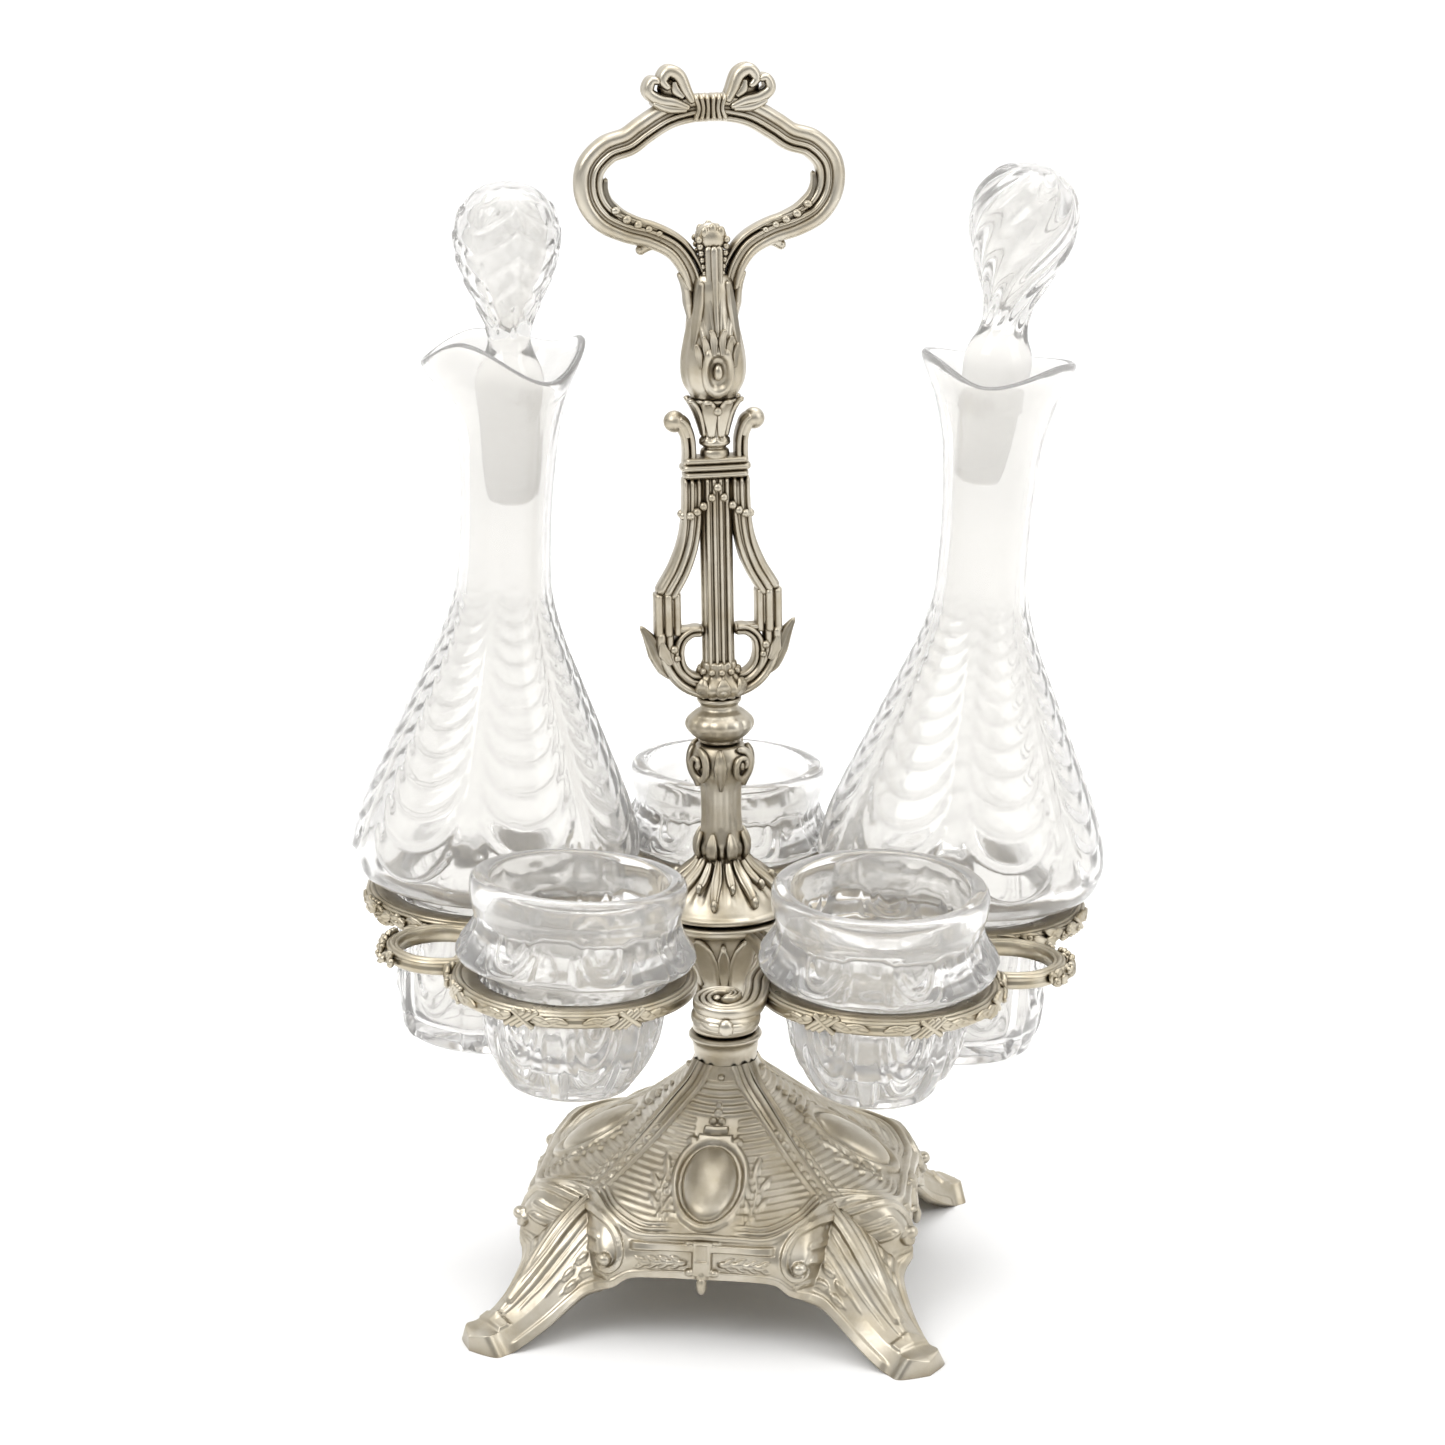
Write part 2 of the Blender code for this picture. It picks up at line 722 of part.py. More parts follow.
def build_glass():
    for side, sign in (("left", -1), ("right", 1)):
        place = (sign * CARAFE_PLACE[0], CARAFE_PLACE[1])
        leans = CARAFE_LEANS[side]
        holder = seat(f"carafe_{side}_axis", place, leans)
        raise_by = lift(leans, CARAFE_RING[0])
        glass_shell(f"carafe_{side}", CARAFE, holder, raise_by)
        mouth = (0, 0, LIP_HEIGHT + raise_by - RING_TOP + STOPPER_LIFTS[side])
        stopper_axis = empty(f"stopper_{side}_axis", mouth, (0, STOPPER_LEANS[side], 0), holder)
        turned(f"stopper_{side}", STOPPER, pressed_glass(f"stopper_{side}"), stopper_axis, steps=24)
    cups = {
        "front_left": (-FRONT_CUP_PLACE[0], FRONT_CUP_PLACE[1]),
        "front_right": FRONT_CUP_PLACE,
        "rear": REAR_CUP_PLACE,
    }
    for name, place in cups.items():
        leans = CUP_LEANS[name]
        holder = seat(f"cup_{name}_axis", place, leans)
        glass_shell(f"cup_{name}", CUP, holder, lift(leans, CUP_RING[0]))


def smooth_shading():
    for part in PARTS.objects:
        if part.type == "MESH":
            part.data.shade_smooth()
            part.data.set_sharp_from_angle(angle=math.radians(35))


METAL = cast_metal("silvered white metal")
build_base(METAL.copy())
build_clamp()
build_rings(METAL)
build_hub(METAL)
build_turned_column(METAL)
build_lyre(METAL)
build_loop_handle(METAL)
build_glass()
smooth_shading()
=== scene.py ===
"""Looks of the cruet set: cast white metal in relief and pressed glass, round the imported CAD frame.

Shapes are worked out in millimetres. A shape's own frame has its axis at x = y = 0 and counts
heights as the casting does, from 2 mm under the floor. A matrix then sets it in the row frame.
"""

import math

import bmesh
import bpy
import numpy as np
from mathutils import Matrix, Vector


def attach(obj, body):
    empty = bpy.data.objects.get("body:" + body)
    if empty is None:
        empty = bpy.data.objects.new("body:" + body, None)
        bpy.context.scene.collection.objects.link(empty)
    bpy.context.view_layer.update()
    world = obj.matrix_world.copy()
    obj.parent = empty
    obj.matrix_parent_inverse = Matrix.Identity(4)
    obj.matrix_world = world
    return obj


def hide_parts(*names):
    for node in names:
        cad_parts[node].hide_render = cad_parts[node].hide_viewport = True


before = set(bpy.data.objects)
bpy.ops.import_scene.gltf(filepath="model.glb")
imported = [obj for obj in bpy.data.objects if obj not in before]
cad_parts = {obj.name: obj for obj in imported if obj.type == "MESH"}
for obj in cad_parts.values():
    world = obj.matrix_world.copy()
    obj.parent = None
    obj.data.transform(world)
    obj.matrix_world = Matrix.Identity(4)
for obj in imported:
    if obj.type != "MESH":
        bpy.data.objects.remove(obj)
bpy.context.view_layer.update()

MM = 0.001
SEED = 7

# ------------------------------------------------------------------- places

COLUMN_Y = -7
TOE_TRIM = 2
NECK_HEIGHT = 72
COLUMN_LEAN = -1.0
BASE_TURN = -7.0
LYRE_TURN = 10.0
FRAME_TILT = 1.5
RING_TOP = 118
RING_MID = 115.7
LIP_HEIGHT = 279
SEAT_LIFT = 0.5
CARAFE_RING = (31, 39.5)
CUP_RING = (27.5, 35.2)
STOPPER_RING = (13.5, 17.5)
PLACES = {
    "left_carafe": (-71.5, 22),
    "right_carafe": (71.5, 22),
    "front_left_cup": (-43.4, -57),
    "front_right_cup": (43.4, -57),
    "rear_cup": (0, 71),
    "left_stopper_ring": (-82.4, -33.5),
    "right_stopper_ring": (82.4, -33.5),
}
# Lean about +X, then about +Y, in degrees.
LEANS = {
    "left_carafe": (0, 2.7),
    "right_carafe": (0, 3.2),
    "front_left_cup": (-2.5, 3.2),
    "front_right_cup": (3.5, 0.8),
    "rear_cup": (0, 1.5),
    "left_stopper": (0, -3.0),
    "right_stopper": (0, 6.0),
}
STOPPER_LIFTS = {"left": -2.5, "right": 7}
GLASS_TURN = 4.0


def move(x, y, z):
    return Matrix.Translation((x, y, z))


def turn(degrees, axis):
    return Matrix.Rotation(math.radians(degrees), 4, axis)


STAND = move(0, COLUMN_Y, -TOE_TRIM)
COLUMN = STAND @ move(0, 0, NECK_HEIGHT) @ turn(COLUMN_LEAN, "Y") @ move(0, 0, -NECK_HEIGHT)
LYRE_PLANE = COLUMN @ turn(LYRE_TURN, "Z")
RINGS = STAND @ move(0, 0, RING_MID) @ turn(FRAME_TILT, "Y")
BASE = STAND @ turn(BASE_TURN, "Z")


def seat(body, ring_radius):
    """The frame of a glass in its ring, where heights are the glass's own."""
    x, y = PLACES[body]
    about_x, about_y = LEANS[body]
    sag = -math.tan(math.radians(FRAME_TILT)) * x
    off_ring = math.hypot(math.radians(about_x), math.radians(about_y - FRAME_TILT))
    raised = ring_radius * math.sin(off_ring) + SEAT_LIFT
    lean = turn(about_y, "Y") @ turn(about_x, "X")
    return STAND @ move(x, y, RING_TOP + sag) @ lean @ move(0, 0, raised - RING_TOP)


def stopper_seat(side):
    mouth = LIP_HEIGHT + STOPPER_LIFTS[side]
    body = seat(f"{side}_carafe", CARAFE_RING[0])
    return body @ move(0, 0, mouth) @ turn(LEANS[f"{side}_stopper"][1], "Y")


# ------------------------------------------------------------- mesh helpers


def spline(points, count, closed=False):
    """A smooth run of count points through the given ones."""
    points = np.asarray(points, float)
    if closed:
        points = np.concatenate([points[-2:], points, points[:3]])
    steps = np.linalg.norm(np.diff(points, axis=0), axis=1) ** 0.6
    along = np.concatenate([[0], np.cumsum(steps)])
    start, stop = (along[2], along[-3]) if closed else (0, along[-1])
    wanted = np.linspace(start, stop, count, endpoint=not closed)
    return hermite(along, points, wanted)


def hermite(along, values, wanted):
    """Cubic interpolation of values known at along."""
    along = np.asarray(along, float)
    values = np.asarray(values, float)
    flat = values.ndim == 1
    if flat:
        values = values[:, None]
    slopes = np.empty_like(values)
    slopes[1:-1] = (values[2:] - values[:-2]) / (along[2:] - along[:-2])[:, None]
    slopes[0] = (values[1] - values[0]) / (along[1] - along[0])
    slopes[-1] = (values[-1] - values[-2]) / (along[-1] - along[-2])
    wanted = np.asarray(wanted, float)
    shape = wanted.shape
    wanted = wanted.ravel()
    cell = np.clip(np.searchsorted(along, wanted, side="right") - 1, 0, len(along) - 2)
    width = (along[cell + 1] - along[cell])[:, None]
    t = np.clip((wanted - along[cell])[:, None] / width, 0, 1)
    result = (
        (2 * t**3 - 3 * t**2 + 1) * values[cell]
        + (t**3 - 2 * t**2 + t) * width * slopes[cell]
        + (3 * t**2 - 2 * t**3) * values[cell + 1]
        + (t**3 - t**2) * width * slopes[cell + 1]
    )
    return result[:, 0].reshape(shape) if flat else result.reshape(*shape, values.shape[1])


def grid(points, wrap_u=False, wrap_v=False, flip=False):
    """(vertices, quads) of a grid of points with shape (u, v, 3)."""
    nu, nv = points.shape[:2]
    index = np.arange(nu * nv).reshape(nu, nv)
    if wrap_u:
        index = np.concatenate([index, index[:1]])
    if wrap_v:
        index = np.concatenate([index, index[:, :1]], axis=1)
    quads = np.stack([index[:-1, :-1], index[1:, :-1], index[1:, 1:], index[:-1, 1:]], axis=-1)
    quads = quads.reshape(-1, 4)
    return points.reshape(-1, 3), quads[:, ::-1] if flip else quads


def joined(shapes):
    """Several (vertices, quads) as one."""
    vertices = []
    quads = []
    count = 0
    for points, faces in shapes:
        vertices.append(points)
        quads.append(faces + count)
        count += len(points)
    return np.concatenate(vertices), np.concatenate(quads)


def placed(shape, matrix):
    points, quads = shape
    m = np.array(matrix)
    if np.linalg.det(m[:3, :3]) < 0:
        quads = quads[:, ::-1]
    return points @ m[:3, :3].T + m[:3, 3], quads


MIRROR = Matrix.Diagonal((-1, 1, 1, 1))
FLIP_Y = Matrix.Diagonal((1, -1, 1, 1))


def both_sides(shapes):
    return shapes + [placed(shape, MIRROR) for shape in shapes]


def front_and_back(shapes):
    return shapes + [placed(shape, FLIP_Y) for shape in shapes]


def piece(name, shapes, matrix, material, body, replaces=()):
    """One visible mesh from shapes in millimetres, set in the row frame and tied to its body."""
    points, quads = placed(joined(shapes), matrix)
    mesh = bpy.data.meshes.new(name)
    mesh.vertices.add(len(points))
    mesh.vertices.foreach_set("co", (points * MM).ravel())
    mesh.loops.add(quads.size)
    mesh.loops.foreach_set("vertex_index", quads.ravel())
    mesh.polygons.add(len(quads))
    mesh.polygons.foreach_set("loop_start", np.arange(0, quads.size, 4))
    mesh.update(calc_edges=True)
    work = bmesh.new()
    work.from_mesh(mesh)
    bmesh.ops.remove_doubles(work, verts=work.verts, dist=0.004 * MM)
    bmesh.ops.dissolve_degenerate(work, edges=work.edges, dist=0.001 * MM)
    work.to_mesh(mesh)
    work.free()
    mesh.polygons.foreach_set("use_smooth", np.ones(len(mesh.polygons), bool))
    mesh.materials.append(material)
    made = bpy.data.objects.new(name, mesh)
    bpy.context.scene.collection.objects.link(made)
    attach(made, body)
    if replaces:
        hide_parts(*replaces)
    return made


def grid_normals(points):
    along = np.gradient(points, axis=0)
    across = np.gradient(points, axis=1)
    normal = np.cross(along, across)
    length = np.linalg.norm(normal, axis=-1, keepdims=True)
    return normal / np.maximum(length, 1e-9)


def lathe(profile, segments, relief=None, rows=None):
    """A turned shell from a profile of (radius, height); relief(angle, height) lifts it outward."""
    outline = spline(profile, rows) if rows else np.asarray(profile, float)
    angle = np.arange(segments) * 2 * math.pi / segments
    steps = np.gradient(outline, axis=0)
    steps /= np.maximum(np.linalg.norm(steps, axis=1, keepdims=True), 1e-9)
    radius = np.broadcast_to(outline[:, 0], (segments, len(outline))).copy()
    height = np.broadcast_to(outline[:, 1], (segments, len(outline))).copy()
    if relief:
        lift = relief(angle[:, None] + 0 * height, height, radius)
        radius = radius - lift * steps[:, 1]
        height = height + lift * steps[:, 0]
    radius = np.maximum(radius, 0)
    c, s = np.cos(angle)[:, None], np.sin(angle)[:, None]
    points = np.stack([radius * c, radius * s, height], axis=-1)
    return grid(points, wrap_u=True, flip=True)


def strand(path, width, depth, face=(0, -1, 0), reeds=0, groove=0.0, count=40, sides=20, ends=0.06):
    """A tapered strap, leaf or scroll along a path.

    width and depth are half sizes, as a number or a list of values along the path. face is the way
    that its show side looks, for the whole path or for each of its points. reeds cut the show side.
    """
    path = np.asarray(path, float)
    line = spline(path, count)
    share = np.linspace(0, 1, count)

    def along(values):
        values = np.atleast_1d(np.asarray(values, float))
        if len(values) == 1:
            return np.full(count, values[0])
        return np.interp(share, np.linspace(0, 1, len(values)), values)

    half = along(width)
    deep = along(depth)
    if ends:
        near = np.minimum(share, 1 - share) / ends
        close = np.sqrt(np.clip(1 - (1 - np.minimum(near, 1)) ** 2, 0, 1))
        half = half * close
        deep = deep * close
    tangent = np.gradient(line, axis=0)
    tangent /= np.maximum(np.linalg.norm(tangent, axis=1, keepdims=True), 1e-9)
    up = np.asarray(face, float)
    if up.ndim == 1:
        up = np.broadcast_to(up, line.shape)
    else:
        up = spline(up, count)
    up = up - (up * tangent).sum(axis=1, keepdims=True) * tangent
    up = up / np.maximum(np.linalg.norm(up, axis=1, keepdims=True), 1e-9)
    side = np.cross(tangent, up)
    angle = np.arange(sides) * 2 * math.pi / sides
    x = np.sign(np.cos(angle)) * np.abs(np.cos(angle)) ** 0.9
    y = np.sign(np.sin(angle)) * np.abs(np.sin(angle)) ** 0.8
    if reeds:
        wave = 0.5 - 0.5 * np.cos(math.pi * reeds * (x + 1))
        y = np.where(y > 0, y * (1 - groove) + groove * wave * np.minimum(1, y * 2), y)
    points = (
        line[:, None, :]
        + side[:, None, :] * (half[:, None] * x)[..., None]
        + up[:, None, :] * (deep[:, None] * y)[..., None]
    )
    return grid(points, wrap_v=True)


def bead(centre, radius, squash=(1, 1, 1), rings=9, sides=12):
    """A small ball of the casting, pressed to an oval by squash."""
    tilt = np.linspace(0, math.pi, rings)
    angle = np.arange(sides) * 2 * math.pi / sides
    points = np.stack(
        [
            np.cos(angle)[:, None] * np.sin(tilt)[None],
            np.sin(angle)[:, None] * np.sin(tilt)[None],
            0 * angle[:, None] + np.cos(tilt)[None],
        ],
        axis=-1,
    )
    points = points * np.asarray(squash) * radius + np.asarray(centre, float)
    return grid(points, wrap_u=True, flip=True)


# ----------------------------------------------------------- relief helpers


def smooth_step(value, low, high):
    t = np.clip((value - low) / (high - low), 0, 1)
    return t * t * (3 - 2 * t)


def window(value, rise, fall):
    """1 between rise and fall, which are the (low, high) ranges that it comes up and goes down in."""
    return smooth_step(value, *rise) * (1 - smooth_step(value, *fall))


def dome(distance, half, height, power=0.6):
    """A rounded rise whose foot is where distance reaches half."""
    return height * np.clip(1 - (distance / half) ** 2, 0, 1) ** power


def oval(x, y, centre, radii, height, angle=0.0, power=0.5):
    c, s = math.cos(math.radians(angle)), math.sin(math.radians(angle))
    dx, dy = x - centre[0], y - centre[1]
    across = (dx * c + dy * s) / radii[0]
    along = (-dx * s + dy * c) / radii[1]
    return height * np.clip(1 - across**2 - along**2, 0, 1) ** power


def plate(x, y, centre, half, edge=0.5):
    """1 on a rectangle of these half sizes, down to 0 at its outline over a slope as wide as edge."""
    past = np.maximum(np.abs(x - centre[0]) - half[0], np.abs(y - centre[1]) - half[1])
    return smooth_step(-past, 0, edge)


def distance_to(x, y, path, count=90):
    """(distance, share along) from each point to a smooth path."""
    line = spline(path, count)
    best = np.full(x.shape, 1e9)
    share = np.zeros(x.shape)
    for i, (px, py) in enumerate(line):
        gap = (x - px) ** 2 + (y - py) ** 2
        nearer = gap < best
        best = np.where(nearer, gap, best)
        share = np.where(nearer, i / (count - 1), share)
    return np.sqrt(best), share


def ridge(x, y, path, half, height, taper=(1.0, 1.0), groove=0.0):
    """A raised line along a path, with an optional groove down its middle."""
    distance, share = distance_to(x, y, path)
    size = taper[0] + (taper[1] - taper[0]) * share
    rise = dome(distance, half * size, height * np.minimum(size * 1.3, 1))
    if groove:
        rise = rise - dome(distance, half * size * 0.4, groove * (rise > 0.3))
    return rise


# ---------------------------------------------------------------- materials


def node(tree, kind, inputs=None, **settings):
    made = tree.nodes.new(kind)
    for key, value in settings.items():
        setattr(made, key, value)
    for key, value in (inputs or {}).items():
        made.inputs[key].default_value = value
    return made


def ramp(tree, source, stops):
    made = tree.nodes.new("ShaderNodeValToRGB")
    tree.links.new(source, made.inputs[0])
    elements = made.color_ramp.elements
    while len(elements) < len(stops):
        elements.new(0.5)
    for element, (position, color) in zip(elements, stops):
        element.position = position
        element.color = (*color, 1) if len(color) == 3 else (color[0],) * 3 + (1,)
    return made


def metal_material(name, light, hollow_tarnish_and_shade_colour, roughness):
    """Worn silvered casting: bright on its open surfaces, with brown tarnish and painted shade in its
    hollows and a cloudy tarnish overall.
    """
    material = bpy.data.materials.new(name)
    material.use_nodes = True
    tree = material.node_tree
    link = tree.links.new
    shader = tree.nodes["Principled BSDF"]
    shader.inputs["Metallic"].default_value = 1
    place = tree.nodes.new("ShaderNodeTexCoord")
    # Ambient occlusion finds the hollows, which take the recess colour: brown tarnish together with painted
    # shade.
    hollow = node(tree, "ShaderNodeAmbientOcclusion", {"Distance": 0.006}, samples=6)
    cloud = node(tree, "ShaderNodeTexNoise", {"Scale": 70, "Detail": 5, "Roughness": 0.6})
    link(place.outputs["Object"], cloud.inputs["Vector"])
    grain = node(tree, "ShaderNodeTexNoise", {"Scale": 900, "Detail": 3, "Roughness": 0.6})
    link(place.outputs["Object"], grain.inputs["Vector"])
    depth = ramp(tree, hollow.outputs["AO"], [(0.25, (0.0,)), (0.88, (1.0,))])
    hollow_tarnish_and_shade = node(tree, "ShaderNodeMix", data_type="RGBA")
    hollow_tarnish_and_shade.inputs[6].default_value = (*hollow_tarnish_and_shade_colour, 1)
    hollow_tarnish_and_shade.inputs[7].default_value = (*light, 1)
    link(depth.outputs["Color"], hollow_tarnish_and_shade.inputs[0])
    tarnish = ramp(tree, cloud.outputs["Fac"], [(0.36, (0.8, 0.76, 0.68)), (0.62, (1.0, 1.0, 1.0))])
    tint = node(tree, "ShaderNodeMix", {0: 1.0}, data_type="RGBA", blend_type="MULTIPLY")
    link(hollow_tarnish_and_shade.outputs[2], tint.inputs[6])
    link(tarnish.outputs["Color"], tint.inputs[7])
    link(tint.outputs[2], shader.inputs["Base Color"])
    dull = ramp(tree, cloud.outputs["Fac"], [(0.3, (roughness + 0.1,)), (0.7, (roughness - 0.04,))])
    link(dull.outputs["Color"], shader.inputs["Roughness"])
    bump = node(tree, "ShaderNodeBump", {"Strength": 0.25, "Distance": 0.00015})
    link(grain.outputs["Fac"], bump.inputs["Height"])
    link(bump.outputs["Normal"], shader.inputs["Normal"])
    return material


def glass_material(name, tint):
    """Pressed soda glass: clear, a little cloudy, with the ripple of the mould and painted grey shade in its
    creases.
    """
    material = bpy.data.materials.new(name)
    material.use_nodes = True
    tree = material.node_tree
    link = tree.links.new
    shader = tree.nodes["Principled BSDF"]
    shader.inputs["Transmission Weight"].default_value = 0.87
    shader.inputs["IOR"].default_value = 1.46
    form = tree.nodes.new("ShaderNodeNewGeometry")
    # Painted shade: pointiness greys the glass colour in its concave creases.
    painted_crease_shade = ramp(tree, form.outputs["Pointiness"], [(0.44, (0.78,)), (0.5, (0.955,)), (0.55, (1.0,))])
    shade = node(tree, "ShaderNodeMix", {0: 1.0}, data_type="RGBA", blend_type="MULTIPLY")
    shade.inputs[6].default_value = (*tint, 1)
    link(painted_crease_shade.outputs["Color"], shade.inputs[7])
    link(shade.outputs[2], shader.inputs["Base Color"])
    place = tree.nodes.new("ShaderNodeTexCoord")
    ripple = node(tree, "ShaderNodeTexNoise", {"Scale": 160, "Detail": 2, "Roughness": 0.5})
    link(place.outputs["Object"], ripple.inputs["Vector"])
    haze = ramp(tree, ripple.outputs["Fac"], [(0.35, (0.06,)), (0.75, (0.15,))])
    link(haze.outputs["Color"], shader.inputs["Roughness"])
    bump = node(tree, "ShaderNodeBump", {"Strength": 0.25, "Distance": 0.0004})
    link(ripple.outputs["Fac"], bump.inputs["Height"])
    link(bump.outputs["Normal"], shader.inputs["Normal"])
    return material


def floor_material():
    material = bpy.data.materials.new("pale floor")
    material.use_nodes = True
    shader = material.node_tree.nodes["Principled BSDF"]
    shader.inputs["Base Color"].default_value = (0.92, 0.92, 0.92, 1)
    shader.inputs["Roughness"].default_value = 0.9
    shader.inputs["Specular IOR Level"].default_value = 0.1
    return material


# The third colour of each metal fills its hollows: brown tarnish with painted shade.
CAST = metal_material("cast metal", (0.53, 0.49, 0.41), (0.25, 0.21, 0.15), 0.33)
RING_CAST = metal_material("ring metal", (0.5, 0.455, 0.365), (0.2, 0.165, 0.11), 0.3)
STEEL = metal_material("plain steel", (0.42, 0.41, 0.4), (0.12, 0.1, 0.08), 0.38)
GLASS = glass_material("pressed glass", (0.955, 0.945, 0.925))


# ---------------------------------------------------------------- cast foot

# (radius, height) from the neck down, along the middle of a panel and along a ridge.
PANEL_MIDDLE = [(9.5, 72), (13, 65.5), (20, 59), (29, 52.5), (39, 46.5), (48.5, 41), (56, 35)]
PANEL_RIDGE = [(9.5, 72), (13.5, 67), (20, 62), (29, 55), (38, 48.5), (46, 43.5), (52, 40.5)]
# (angle, radius, height) of the moulding under the panel, which climbs over the volute.
MOULDING = [(0, 56, 35), (10, 57.2, 35), (20, 59.6, 35.4), (30, 59, 39.8), (38, 55, 41.4), (45, 52, 40.5)]
# (radius, height) of the ridge on its way down the leg, and out to the prow of the toe.
LEG_RIDGE = [(60, 35.5), (68, 28.5), (76, 19.5), (84, 12), (89.5, 8.5), (93.5, 7.5), (95.5, 7)]
# (radius, degrees away from the ridge, height) of the lower edge, from mid panel to the prow.
LOWER_EDGE = [
    (57.5, 45, 24), (58.4, 35, 24), (61.2, 25, 23.6), (64.6, 21.3, 21), (65.4, 19, 19.8),
    (65.8, 16.4, 18.6), (67.3, 13.4, 16.6), (71, 11, 12.8), (76, 9, 8.4), (82.5, 7.2, 4.4),
    (88.5, 6.1, 2), (93, 5.4, 2), (96, 0.0, 2),
]
# How far the volutes stand out of the skirt, and how high the toe's upright edge is.
BULGE = (0, 0, 1.5, 3.5, 3, 1.5, 0.5, 0, 0, 0.4, 0.5, 0.5, 0.3)
TOE_WALL = (0, 0, 0, 0, 0, 0, 0, 0.5, 1.2, 2.4, 3.4, 3.6, 2.2)
BASE_WALL = 1.9
PANEL_COLUMNS = 96
PANEL_ROWS = 132
LEG_COLUMNS = 84
SKIRT_ROWS = 58
INNER_ROWS = 6


def polar(radius, degrees, height):
    """A point of the front panel's right half: 0 degrees is the panel's middle, 45 its ridge."""
    angle = np.radians(degrees)
    return np.stack([radius * np.sin(angle), -radius * np.cos(angle), height], axis=-1)


def panel_surface():
    angles, radii, heights = np.array(MOULDING, float).T
    angle = np.linspace(0, 45, PANEL_COLUMNS)
    foot = polar(hermite(angles, radii, angle), angle, hermite(angles, heights, angle))
    row = np.linspace(0, 1, PANEL_ROWS)
    known = np.linspace(0, 1, len(PANEL_MIDDLE))
    middle = hermite(known, PANEL_MIDDLE, row)
    edge = hermite(known, PANEL_RIDGE, row)
    share = (angle[:, None, None] / 45) ** 1.5
    section = middle[None] + (edge - middle)[None] * share
    points = polar(section[..., 0], angle[:, None] + 0 * section[..., 0], section[..., 1])
    pull = row[None, :, None] ** 6
    return points + (foot[:, None, :] - points) * pull


def skirt_surface():
    """Columns from mid panel to the prow, rows from the moulding or the leg's ridge down."""
    angles, radii, heights = np.array(MOULDING, float).T
    known = np.arange(len(LOWER_EDGE), dtype=float)
    angle = np.linspace(0, 45, PANEL_COLUMNS)
    knots = len(MOULDING) - 1
    panel_place = np.interp(angle, angles, np.arange(knots + 1))
    leg_place = np.linspace(knots, len(LOWER_EDGE) - 1, LEG_COLUMNS + 1)[1:]
    place = np.concatenate([panel_place, leg_place])
    upper_panel = polar(hermite(angles, radii, angle), angle, hermite(angles, heights, angle))
    ridge_line = hermite(np.arange(knots, len(LOWER_EDGE)), [(52, 40.5)] + LEG_RIDGE, leg_place)
    upper_leg = polar(ridge_line[:, 0], 45.0 + 0 * leg_place, ridge_line[:, 1])
    upper = np.concatenate([upper_panel, upper_leg])
    lower_values = hermite(known, LOWER_EDGE, place)
    lower = polar(lower_values[:, 0], 45 - lower_values[:, 1], lower_values[:, 2])
    bulge = hermite(known, BULGE, place)
    wall = hermite(known, TOE_WALL, place)
    row = np.linspace(0, 1, SKIRT_ROWS)[None, :, None]
    points = upper[:, None, :] + (lower - upper)[:, None, :] * row
    outward = points * (1, 1, 0)
    outward /= np.linalg.norm(outward, axis=-1, keepdims=True)
    points = points + outward * bulge[:, None, None] * np.sin(np.pi * row) ** 1.2
    shoulder = np.where(row < 0.6, row / 0.6, (1 - row) / 0.4)
    points[..., 2] += (wall[:, None, None] * shoulder)[..., 0]
    return points, place


